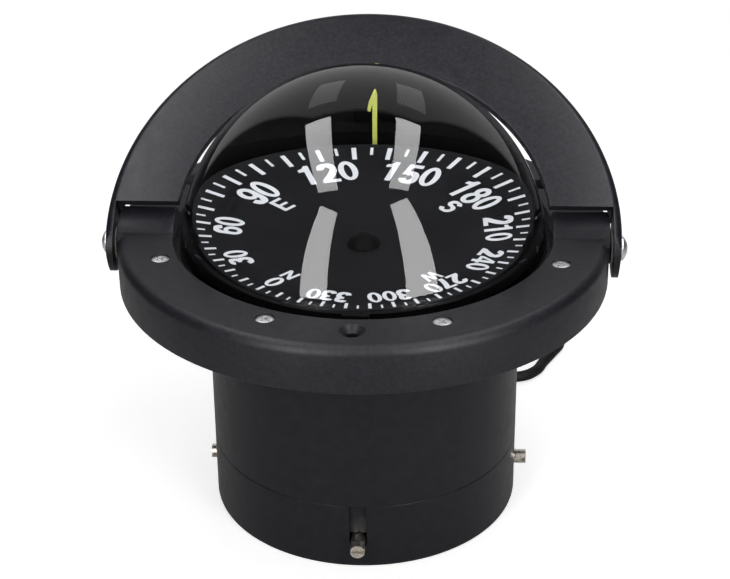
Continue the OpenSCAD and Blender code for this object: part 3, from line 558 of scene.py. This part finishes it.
cableSet = {
    "diameter": 4.4 * mm,
    "route": [
        (24.8, 61.2, -81), (26.6, 65.8, -81.6), (30, 71.2, -83.6), (36, 75, -86), (44, 76.2, -87.6),
        (53, 74.6, -87.8), (61, 74.8, -87.8), (67, 79.4, -87.8), (70.6, 87, -87.8), (74.6, 95, -87.8),
        (78, 103, -87.8), (77, 111.6, -87.8), (70, 117, -87.8), (61, 118.2, -87.8), (52, 115.4, -87.8),
        (44, 110.8, -87.8), (35.4, 107.4, -87.8), (26.2, 107, -87.8), (17, 108.6, -87.8),
        (8, 110.6, -87.8), (-1.2, 111, -87.8), (-10, 109.2, -87.8), (-18, 105, -87.8), (-25, 99.2, -87.8)],
    "wire": 0.8 * mm, "wireLength": 26 * mm, "side": 1 * mm, "gap": 0.2 * mm, "spread": 9,
}


def smoothLine(name, points, radius):     # a curve through all its points
    clearPick()
    bpy.ops.curve.primitive_bezier_curve_add()
    line = named(name)
    line.data.dimensions = "3D"
    line.data.splines.remove(line.data.splines[0])
    spline = line.data.splines.new("BEZIER")
    spline.bezier_points.add(len(points) - 1)
    for knot, point in zip(spline.bezier_points, points):
        knot.co = point
        knot.handle_left_type = knot.handle_right_type = "AUTO"
    line.data.bevel_depth = radius
    line.data.bevel_resolution = 8
    line.data.resolution_u = 8
    line.data.use_fill_caps = True
    return line


def makeCable():
    points = [Vector(p) * mm for p in cableSet["route"]]
    cable = smoothLine("lightingCable", points, cableSet["diameter"] / 2)
    seat(cable, "case", "cable_black", cableRubber, "lighting_cable")
    run = (points[-1] - points[-2]).normalized()
    across = up.cross(run)
    for name, node, slotName, finish, side in (
            ("redWire", "red_lead", "wire_red", wireRed, -1),
            ("blackWire", "black_lead", "cable_black", cableRubber, 1)):
        heading = run.copy()
        heading.rotate(Matrix.Rotation(math.radians(side * cableSet["spread"]), 3, "Z"))
        start = points[-1] + run * cableSet["gap"] + across * side * cableSet["side"]
        drop = cableSet["diameter"] / 2 - cableSet["wire"]
        wire = []
        for share in (0, 0.25, 0.5, 0.75, 1):
            fall = drop * (3 - 2 * share) * share * share       # eases down to the surface
            wire.append(start + heading * cableSet["wireLength"] * share - up * fall)
        insulation = smoothLine(name, wire, cableSet["wire"])
        seat(insulation, "case", slotName, finish, node)


makeCable()


# Bezel: spun ring, two side blocks with ramps, pockets for the screws and sunk mounting holes

bezelSet = {
    "outerR": flangeR, "boreR": 67.3 * mm, "lipR": 70.3 * mm, "skirtR": 83.8 * mm,
    "top": 17 * mm, "plate": 4 * mm, "lipUnder": 10.4 * mm, "edgeEase": 0.22 * mm,
    "edgeRound": 3.6 * mm, "blockRound": 0.9 * mm, "boreRound": 1 * mm, "footRound": 0.5 * mm,
    "rampFront": -6.8 * mm, "rampTop": 4.6 * mm, "rampSunk": 0.3 * mm, "rampReach": 4 * mm, "backR": 13 * mm,
    "blockSunk": 2 * mm, "blockIn": 4 * mm, "blockWide": 30 * mm, "padBack": 21 * mm, "padUnder": 0.02 * mm,
    "screwRing": 73.6 * mm, "screwAngles": (-69, -23, 23, 69), "pocketR": 3.35 * mm, "pocketDeep": 2.3 * mm,
    "shankR": 1.6 * mm,
    "holeRing": 75.4 * mm, "holeAngles": (0, 120, 240), "holeR": 2.2 * mm, "sinkR": 4.4 * mm,
    "sleeveR": 4.5 * mm, "sleeveLow": 3.1 * mm, "sleeveUnder": 1.8 * mm, "padR": 5.5 * mm, "padIn": 2 * mm,
    "padOut": 0.3 * mm, "insertR": 3.26 * mm, "insertDeep": 8.1 * mm,
}


def onRing(radius, angle, z):             # a place on a circle about the axis, measured from the front
    a = math.radians(angle)
    return Vector((radius * math.sin(a), -radius * math.cos(a), z))


def makeSideBlock(side):
    b = bezelSet
    under = b["top"] - b["blockSunk"]
    block = spun("sideBlock", [
        (b["boreR"], under, 0), (b["outerR"], under, 0),
        (b["outerR"], blockTopZ, b["blockRound"]), (b["boreR"], blockTopZ, b["boreRound"])])
    # side view: ramp, flat top, a back rounded about the hood's pivot, and a low pad behind it
    padTop = b["top"] - b["padUnder"]
    backTop = math.asin((blockTopZ - pivot.z) / b["backR"])
    backLow = math.asin((padTop - pivot.z) / b["backR"])
    front = b["rampFront"] - b["rampReach"]
    outline = [Vector((0, front, under - overrun)), Vector((0, front, b["top"] - b["rampSunk"])),
               Vector((0, b["rampFront"], b["top"])), Vector((0, b["rampTop"], blockTopZ))]
    for step in range(13):
        a = backTop + (backLow - backTop) * step / 12
        outline.append(Vector((0, pivot.y + b["backR"] * math.cos(a), pivot.z + b["backR"] * math.sin(a))))
    outline += [Vector((0, b["padBack"], padTop)), Vector((0, b["padBack"], under - overrun))]
    for point in outline:
        point.x = side * (b["boreR"] - b["blockIn"])
    sideView = slab("blockSide", outline, Vector((side * b["blockWide"], 0, 0)))
    return cut(block, sideView, "INTERSECT")


def makeBezel():
    b = bezelSet
    ring = spun("bezelShell", [
        (b["skirtR"], 0, 0), (b["outerR"], 0, b["footRound"]),
        (b["outerR"], b["top"], b["edgeRound"]), (b["boreR"], b["top"], b["boreRound"]),
        (b["boreR"], b["lipUnder"], 0), (b["lipR"], b["lipUnder"], 0),
        (b["lipR"], b["top"] - b["plate"], 0), (b["skirtR"], b["top"] - b["plate"], 0)], steps=256)
    for side in (-1, 1):
        cut(ring, makeSideBlock(side), "UNION")
        face = Vector((side * (b["outerR"] - b["padIn"]), pivot.y, pivot.z))
        out = Vector((side * (b["outerR"] + b["padOut"]), pivot.y, pivot.z))
        cut(ring, rod("pivotPad", b["padR"], face, out), "UNION")
        cut(ring, rod("insertBore", b["insertR"], out - Vector((side * b["insertDeep"], 0, 0)),
                      out + Vector((side * overrun, 0, 0))))
    for angle in b["screwAngles"]:
        cut(ring, rod("screwPocket", b["pocketR"], onRing(b["screwRing"], angle, b["top"] - b["pocketDeep"]),
                      onRing(b["screwRing"], angle, b["top"] + overrun)))
        cut(ring, rod("screwHole", b["shankR"], onRing(b["screwRing"], angle, b["top"] - 2 * b["plate"]),
                      onRing(b["screwRing"], angle, b["top"])))
    for angle in b["holeAngles"]:
        base = onRing(b["holeRing"], angle, 0)
        sleeve = rod("holeSleeve", b["sleeveR"], base + up * b["sleeveLow"],
                     base + up * (b["top"] - b["sleeveUnder"]))
        cut(ring, sleeve, "UNION")
        sink = spun("holeSink", [
            (0, -overrun, 0), (b["holeR"], -overrun, 0),
            (b["holeR"], b["top"] - (b["sinkR"] - b["holeR"]), 0), (b["sinkR"], b["top"], 0),
            (b["sinkR"] + overrun, b["top"] + overrun, 0), (0, b["top"] + overrun, 0)], steps=64)
        cut(ring, placed(sink, Matrix.Translation(base)))
    easeEdges(tidyShell(ring), b["edgeEase"])
    return seat(ring, "case", "bezel_plastic", bezelPlastic, "bezel_ring")


makeBezel()
print("bezel turned and cut")


# Hood: half a spun channel with two ears, turned up about its pivot

hoodSet = {
    "innerR": 66.1 * mm, "rimInnerR": 87.9 * mm, "outerR": 90.9 * mm, "face": 3 * mm,
    "rimLow": 8.8 * mm, "cutY": 8.95 * mm, "edgeRound": 3 * mm, "innerRound": 0.8 * mm,
    "lowRound": 0.6 * mm, "edgeEase": 0.25 * mm,
    "earInX": 87.95 * mm, "earR": 10.4 * mm, "earReach": 3 * mm, "boreR": 3.53 * mm,
}


def makeHood():
    h = hoodSet
    shell = spun("hoodShell", [
        (h["rimInnerR"], h["rimLow"], 0), (h["outerR"], h["rimLow"], h["lowRound"]),
        (h["outerR"], blockTopZ, h["edgeRound"]), (h["innerR"], blockTopZ, h["innerRound"]),
        (h["innerR"], blockTopZ - h["face"], 0), (h["rimInnerR"], blockTopZ - h["face"], 0)], steps=256)
    editAll(shell)
    bpy.ops.mesh.bisect(plane_co=(0, h["cutY"], 0), plane_no=(0, 1, 0), use_fill=True, clear_inner=True)
    bpy.ops.object.mode_set(mode="OBJECT")
    tidyShell(shell)
    for side in (-1, 1):
        inner = Vector((side * h["earInX"], pivot.y, pivot.z))
        outer = Vector((side * (h["outerR"] + overrun), pivot.y, pivot.z))
        ear = rod("hoodEar", h["earR"], inner, outer, 96)
        reach = brick("earReach", Vector((min(inner.x, outer.x), pivot.y, h["rimLow"])),
                      Vector((max(inner.x, outer.x), h["cutY"] + h["earReach"], blockTopZ)))
        cut(ear, reach, "UNION")
        body = spun("earBody", [
            (0, pivot.z - h["earR"], 0), (h["outerR"], pivot.z - h["earR"], h["edgeRound"]),
            (h["outerR"], blockTopZ, h["edgeRound"]), (0, blockTopZ, 0)], steps=256)
        cut(ear, body, "INTERSECT")
        cut(shell, ear, "UNION")
        cut(shell, rod("pivotBore", h["boreR"], inner - Vector((side * 2 * overrun, 0, 0)), outer))
    easeEdges(tidyShell(shell), h["edgeEase"])
    return seat(raised(shell), "hood", "hood_plastic", hoodPlastic, "hood")


makeHood()
print("hood raised")


# Barrel: upper can with its flange plate, lower cup with slots over the rods

barrelSet = {
    "innerR": 53.4 * mm, "plateR": 83.5 * mm, "plate": 3 * mm, "plateRound": 0.3 * mm, "canEase": 0.12 * mm,
    "cupEase": 0.2 * mm, "inside": 4 * mm,
    "seamGap": 0.1 * mm, "seamEdge": 0.15 * mm,
    "spigotOut": 0.1 * mm, "spigotLow": 5.4 * mm, "spigotWall": 2 * mm,
    "skin": 0.6 * mm, "skinIn": 0.1 * mm, "skinSunk": 0.3 * mm, "skinLow": 0.2 * mm,
    "floor": 2.5 * mm, "footRound": 1.2 * mm, "slotW": 6.2 * mm,
    "glandAngle": 158, "glandZ": floorZ + 9 * mm, "glandR": 4.3 * mm,
}


def makeCan():
    b = barrelSet
    foot = seamZ + b["seamGap"]
    spigotR = b["innerR"] - b["spigotOut"]
    can = spun("barrelCan", [
        (b["innerR"], foot, 0), (barrelR - b["seamEdge"], foot, 0), (barrelR, foot + b["seamEdge"], 0),
        (barrelR, 0, 0), (b["plateR"], 0, b["plateRound"]), (b["plateR"], b["plate"], b["plateRound"]),
        (b["innerR"], b["plate"], 0)], steps=256)
    spigot = spun("canSpigot", [
        (spigotR - b["spigotWall"], seamZ - b["spigotLow"], 0), (spigotR, seamZ - b["spigotLow"], 0),
        (spigotR, foot, 0), (b["innerR"] + overrun, foot + overrun, 0),
        (b["innerR"] + overrun, foot + 2 * overrun, 0), (spigotR - b["spigotWall"], foot + 2 * overrun, 0)],
        steps=256)
    cut(can, spigot, "UNION")
    for angle in bezelSet["holeAngles"]:
        base = onRing(bezelSet["holeRing"], angle, 0)
        cut(can, rod("panelHole", bezelSet["holeR"], base - up * overrun,
                     base + up * (b["plate"] + 2 * overrun)))
    easeEdges(tidyShell(can), b["canEase"])
    return seat(can, "case", "barrel_plastic", barrelPlastic, "housing_can")


def makeCup():
    b = barrelSet
    cup = spun("barrelCup", [
        (0, floorZ, 0), (barrelR, floorZ, b["footRound"]), (barrelR, seamZ - b["seamEdge"], 0),
        (barrelR - b["seamEdge"], seamZ, 0), (b["innerR"], seamZ, 0),
        (b["innerR"], floorZ + b["floor"], 0), (0, floorZ + b["floor"], 0)], steps=256)
    half = b["slotW"] / 2
    insideR, outsideR = b["innerR"] - b["inside"], barrelR + overrun
    for angle, z in ((90, athwartZ), (270, athwartZ), (0, foreAftZ)):
        aside = Matrix.Rotation(math.radians(angle), 4, "Z")
        cut(cup, rod("slotFoot", half, onRing(insideR, angle, z), onRing(outsideR, angle, z)))
        slot = brick("slotRise", Vector((-half, -outsideR, z)), Vector((half, -insideR, seamZ + overrun)))
        cut(cup, placed(slot, aside))
        # thin skin at the back of the slot, from just above the rod to just under the seam
        skin = brick("slotSkin", Vector((-half - overrun, -b["innerR"] - b["skin"], z + half - b["skinLow"])),
                     Vector((half + overrun, -b["innerR"] - b["skinIn"], seamZ - b["skinSunk"])))
        cut(cup, placed(skin, aside), "UNION")
    cut(cup, rod("glandHole", b["glandR"], onRing(insideR, b["glandAngle"], b["glandZ"]),
                 onRing(outsideR, b["glandAngle"], b["glandZ"])))
    easeEdges(tidyShell(cup), b["cupEase"])
    return seat(cup, "case", "barrel_plastic", barrelPlastic, "bottom_cup")


makeCan()
makeCup()
print("barrel made")


# Dome: clear half sphere with its clamped foot ring; the wet side is a slot of its own

domeSet = {"wall": 3 * mm, "ringR": 70.2 * mm, "ringLow": 5.7 * mm, "ringTop": 8.2 * mm, "steps": 48}


def domePoint(radius, angle):
    return (radius * math.cos(angle), domeZ + radius * math.sin(angle), 0)


def makeDome():
    d = domeSet
    innerR = domeR - d["wall"]
    footAngle = math.asin((d["ringTop"] - domeZ) / domeR)
    wetAngle = math.asin((d["ringLow"] - domeZ) / innerR)
    corners = [(d["ringR"], d["ringLow"], 0), (d["ringR"], d["ringTop"], 0)]
    for step in range(d["steps"] + 1):
        share = step / d["steps"]
        corners.append(domePoint(domeR, footAngle + (math.pi / 2 - footAngle) * share))
    for step in range(d["steps"] + 1):
        share = 1 - step / d["steps"]
        corners.append(domePoint(innerR, wetAngle + (math.pi / 2 - wetAngle) * share))
    dome = spun("domeShell", corners)
    seat(dome, "case", "dome_clear", domeClear, "dome")
    dome.data.materials.append(fluidSide)
    wetR = innerR + d["wall"] / 2
    for face in dome.data.polygons:
        centre = face.center - Vector((0, 0, domeZ))
        face.material_index = int(centre.length < wetR and face.normal.dot(centre) < 0)
    smooth(dome, 40)
    return dome


makeDome()
print("dome blown")


# Card: disc with a raised middle, ticks every 5 degrees, plain degree numbers and the four winds

cardSet = {
    "innerR": 5 * mm, "middleR": 37.6 * mm, "thick": 0.8 * mm, "step": 0.12 * mm,
    "tickOut": 42 * mm, "longIn": 38.2 * mm, "shortIn": 39.7 * mm, "longW": 0.95 * mm, "shortW": 0.6 * mm,
    "ticks": 36, "edgeRound": 0.2 * mm, "ink": 0.06 * mm,      # as many long ticks as short ones
    "numberR": 33.7 * mm, "numberH": 7.2 * mm, "letterR": 27 * mm, "letterH": 5.1 * mm,
    "headingAtBack": 135.4,
}


def atHeading(heading, radius, z):        # turned so that its top points outwards on the card
    turn = Matrix.Rotation(-math.radians(heading - cardSet["headingAtBack"]), 4, "Z")
    return turn @ Matrix.Translation((0, radius, z))


def makeTicks(name, first, inner, width):
    c = cardSet
    bar = brick(name, Vector((-width / 2, inner, cardZ)), Vector((width / 2, c["tickOut"], cardZ + c["ink"])))
    placed(bar, Matrix.Rotation(-math.radians(first - c["headingAtBack"]), 4, "Z"))
    editAll(bar)
    copies = c["ticks"] - 1
    bpy.ops.mesh.spin(steps=copies, dupli=True, angle=math.tau * copies / c["ticks"], center=(0, 0, 0),
                      axis=(0, 0, 1))
    bpy.ops.object.mode_set(mode="OBJECT")
    return bar


# Digits and letters in a cell one high: strokes about a centre line, or plain outlines
strokeSet = {"stem": 0.175, "bar": 0.155, "cell": 0.56, "pitch": 0.595}


def bow(centre, acrossR, upR, first, last, steps=18):      # part of an ellipse, in degrees from the right
    points = []
    for step in range(steps + 1):
        a = math.radians(first + (last - first) * step / steps)
        points.append((centre[0] + acrossR * math.cos(a), centre[1] + upR * math.sin(a)))
    return points


def glyphSlab(points, height):            # one outline in the card's plane, as thick as the ink
    flat = [Vector((x * height, y * height, 0)) for x, y in points]
    return slab("glyphPart", flat, up * cardSet["ink"])


def stroke(line, height):                 # a line given its width: more where it runs up than across
    left, right = [], []
    for i, here in enumerate(line):
        before, after = Vector(line[max(i - 1, 0)]), Vector(line[min(i + 1, len(line) - 1)])
        run = (after - before).normalized()
        half = (strokeSet["stem"] * abs(run.y) + strokeSet["bar"] * abs(run.x)) / 2
        left.append((here[0] - run.y * half, here[1] + run.x * half))
        right.append((here[0] + run.y * half, here[1] - run.x * half))
    return glyphSlab(left + right[::-1], height)


def punch(glyph, hole):                   # the hole's tool reaches past the ink on both sides
    hole.scale.z = 3
    hole.location.z = -cardSet["ink"]
    return cut(glyph, settle(hole))


def hoop(centre, acrossR, upR, height):   # a closed ring of the same stroke
    stem, bar = strokeSet["stem"], strokeSet["bar"]
    outer = glyphSlab(bow(centre, acrossR + stem / 2, upR + bar / 2, 0, 354, 59), height)
    inner = glyphSlab(bow(centre, acrossR - stem / 2, upR - bar / 2, 0, 354, 59), height)
    return punch(outer, inner)


def drawGlyph(sign, height):
    stem, bar, wide = strokeSet["stem"], strokeSet["bar"], strokeSet["cell"]
    side, foot = stem / 2, bar / 2
    mid, reach, top = wide / 2, wide / 2 - side, 1 - foot
    parts = []
    if sign == "0":
        parts = [hoop((mid, 0.5), reach, 0.5 - foot, height)]
    elif sign == "1":
        parts = [glyphSlab([(0.21, 0), (0.21 + stem, 0), (0.21 + stem, 1), (0.25, 1), (0.18, 0.88),
                            (0.04, 0.82), (0.04, 0.69), (0.21, 0.72)], height)]
    elif sign == "2":
        line = bow((mid, 0.7), reach, top - 0.7, 180, -15)
        line += [(wide - 0.16, 0.5), (0.27, 0.3), (0.14, 0.14), (0.1, 0.03)]
        parts = [stroke(line, height), glyphSlab([(0, 0), (wide, 0), (wide, bar), (0.06, bar)], height)]
    elif sign == "3":
        parts = [stroke(bow((mid, 0.745), reach - 0.03, top - 0.745, 165, -90), height),
                 stroke(bow((mid, 0.32), reach, 0.32 - foot, 90, -165), height),
                 glyphSlab([(mid - 0.08, 0.485), (mid + 0.02, 0.485), (mid + 0.02, 0.64), (mid - 0.08, 0.64)],
                           height)]
    elif sign == "4":
        parts = [glyphSlab([(0.3, 0), (0.3 + stem, 0), (0.3 + stem, 1), (0.3, 1), (0, 0.36), (0, 0.2),
                            (0.3, 0.2)], height),
                 glyphSlab([(0.4, 0.2), (wide, 0.2), (wide, 0.2 + bar), (0.4, 0.2 + bar)], height)]
        hole = glyphSlab([(0.13, 0.2 + bar), (0.3, 0.2 + bar), (0.3, 0.74)], height)
        parts[0] = punch(parts[0], hole)
    elif sign == "5":
        parts = [stroke(bow((mid, 0.325), reach, 0.325 - foot, 140, -165), height),
                 glyphSlab([(0.09, 1 - bar), (wide - 0.04, 1 - bar), (wide - 0.04, 1), (0.09, 1)], height),
                 glyphSlab([(0.03, 0.44), (0.18, 0.47), (0.25, 1), (0.09, 1)], height)]
    elif sign in "69":
        parts = [hoop((mid, 0.325), reach, 0.325 - foot, height),
                 stroke([(side, 0.325)] + bow((mid, 0.6), reach, top - 0.6, 180, 20), height)]
    elif sign == "7":
        line = [(wide - 0.1, 0.93), (wide - 0.12, 0.84), (wide - 0.22, 0.66), (0.26, 0.4), (0.21, 0.2),
                (0.19, 0)]
        parts = [glyphSlab([(0, 1 - bar), (wide, 1 - bar), (wide, 1), (0, 1)], height), stroke(line, height)]
    elif sign == "8":
        parts = [hoop((mid, 0.745), reach - 0.03, top - 0.745, height),
                 hoop((mid, 0.32), reach, 0.32 - foot, height)]
    elif sign == "N":
        parts = [glyphSlab([(0, 0), (0.18, 0), (0.18, 0.66), (0.56, 0), (0.76, 0), (0.76, 1), (0.58, 1),
                            (0.58, 0.36), (0.2, 1), (0, 1)], height)]
    elif sign == "E":
        parts = [glyphSlab([(0, 0), (0.68, 0), (0.68, bar), (0.2, bar), (0.2, 0.425), (0.63, 0.425),
                            (0.63, 0.575), (0.2, 0.575), (0.2, 1 - bar), (0.67, 1 - bar), (0.67, 1),
                            (0, 1)], height)]
    elif sign == "S":
        line = bow((0.36, 0.745), 0.25, top - 0.745, 10, 250) + bow((0.36, 0.32), 0.27, 0.32 - foot, 70, -165)
        parts = [stroke(line, height)]
    elif sign == "W":
        parts = [glyphSlab([(0.2, 0), (0.4, 0), (0.53, 0.64), (0.66, 0), (0.86, 0), (1.06, 1), (0.88, 1),
                            (0.76, 0.34), (0.63, 1), (0.43, 1), (0.3, 0.34), (0.18, 1), (0, 1)], height)]
    glyph = parts[0]
    for part in parts[1:]:
        cut(glyph, part, "UNION")
    across = wide if sign.isdigit() else max(vertex.co.x for vertex in glyph.data.vertices) / height
    placed(glyph, Matrix.Translation((-across / 2 * height, -0.5 * height, 0)))
    if sign == "9":
        placed(glyph, Matrix.Rotation(math.pi, 4, "Z"))
    return smooth(glyph)


def makeWord(glyphs, word, heading, radius, height):
    letters = []
    for i, sign in enumerate(word):
        copy = duplicate(glyphs[sign], "print" + sign)
        across = (i - (len(word) - 1) / 2) * strokeSet["pitch"] * height
        letters.append(placed(copy, atHeading(heading, radius, cardZ) @ Matrix.Translation((across, 0, 0))))
    return letters


def makeCard():
    c = cardSet
    middleZ = cardZ + c["step"] * 0.4
    card = spun("compassCard", [
        (c["innerR"], cardZ - c["thick"], 0), (cardR, cardZ - c["thick"], c["edgeRound"]),
        (cardR, cardZ, c["edgeRound"]), (c["middleR"], cardZ, 0),
        (c["middleR"] - c["step"], middleZ, 0), (c["innerR"], middleZ, 0)])
    smooth(card)
    seat(card, "card", "card_black", cardBlack, "dial_card")
    marks = [makeTicks("longTicks", 0, c["longIn"], c["longW"]),
             makeTicks("shortTicks", 5, c["shortIn"], c["shortW"])]
    digits = {sign: drawGlyph(sign, c["numberH"]) for sign in "0123456789"}
    letters = {sign: drawGlyph(sign, c["letterH"]) for sign in "NESW"}
    for heading in range(0, 360, 30):
        marks += makeWord(digits, str(heading), heading, c["numberR"], c["numberH"])
    for sign, heading in (("N", 0), ("E", 90), ("S", 180), ("W", 270)):
        marks += makeWord(letters, sign, heading, c["letterR"], c["letterH"])
    for glyph in (*digits.values(), *letters.values()):
        bpy.data.objects.remove(glyph)
    seat(joinAll(marks, "cardPrint"), "card", "card_black", printWhite)


makeCard()
print("card printed")


# Lubber line: yellow blade on the inner face of the gimbal ring, its tip folded down to the left

lubberSet = {
    "width": 0.9 * mm, "thick": 0.7 * mm, "stand": 0.6 * mm, "foot": low("gimbal_ring").z,
    "top": high("lubber_line").z + 1.1 * mm, "ringInR": 46 * mm,
    "leafOut": 0.95 * mm, "leafDrop": 3.4 * mm, "tipSlope": 0.25 * mm, "tipSide": 0.2 * mm,
    "edgeEase": 0.12 * mm,
}


def makeLubber():
    u = lubberSet
    half = u["width"] / 2
    face = u["ringInR"] - u["stand"]
    top, out, drop = u["top"], u["leafOut"], u["leafDrop"]
    outline = [(-half, u["foot"]), (half, u["foot"]), (half, top - u["width"]),
               (half * 0.5, top - u["tipSlope"]), (0, top), (-half * 0.5, top - u["tipSide"]),
               (-half - out * 0.7, top - drop * 0.6),
               (-half - out, top - drop), (-half - out * 0.35, top - drop * 1.04), (-half, top - drop * 0.62)]
    blade = slab("lubberBlade", [Vector((x, face, z)) for x, z in outline], Vector((0, u["thick"], 0)))
    easeEdges(blade, u["edgeEase"])
    return seat(blade, "gimbal", "lubber_yellow", lubberYellow, "lubber_line")


makeLubber()
print("lubber line set")


# Carried-over nodes take their finish here

nodeFinishes = {
    "dome_seal": sealRubber, "dome_gasket": sealRubber, "bowl": innerPlastic,
    "expansion_diaphragm": sealRubber, "diaphragm_ring": innerPlastic, "filler_plug": brassTurned,
    "filler_seal": sealRubber,
    "bezel_screws": screwSteel, "gimbal_trunnions": innerPlastic, "pivot_inserts": brassTurned,
    "friction_washers": nylonWhite, "hood_screws": screwSteel, "compensator_frame": innerPlastic,
    "lamp_holder": innerPlastic, "lamp": lampWhite, "lamp_lead": wireRed, "cable_gland": cableRubber,
    "hood_bushes": nylonWhite, "gimbal_ring": innerPlastic,
    "cradle_pins": brassTurned, "cradle": innerPlastic, "pivot_post": brassTurned, "pivot_pin": screwSteel,
    "ballast": ballastMetal, "card_hub": hubBlack, "jewel_cup": rubyRed, "card_magnets": magnetSteel,
    "athwart_rod": rodNickel, "athwart_magnet": magnetSteel, "fore_aft_rod": rodNickel,
    "fore_aft_magnet": magnetSteel,
}
for nodeName, finish in nodeFinishes.items():
    wear(frame["nodes"][nodeName], finish)
print("carried-over nodes finished")
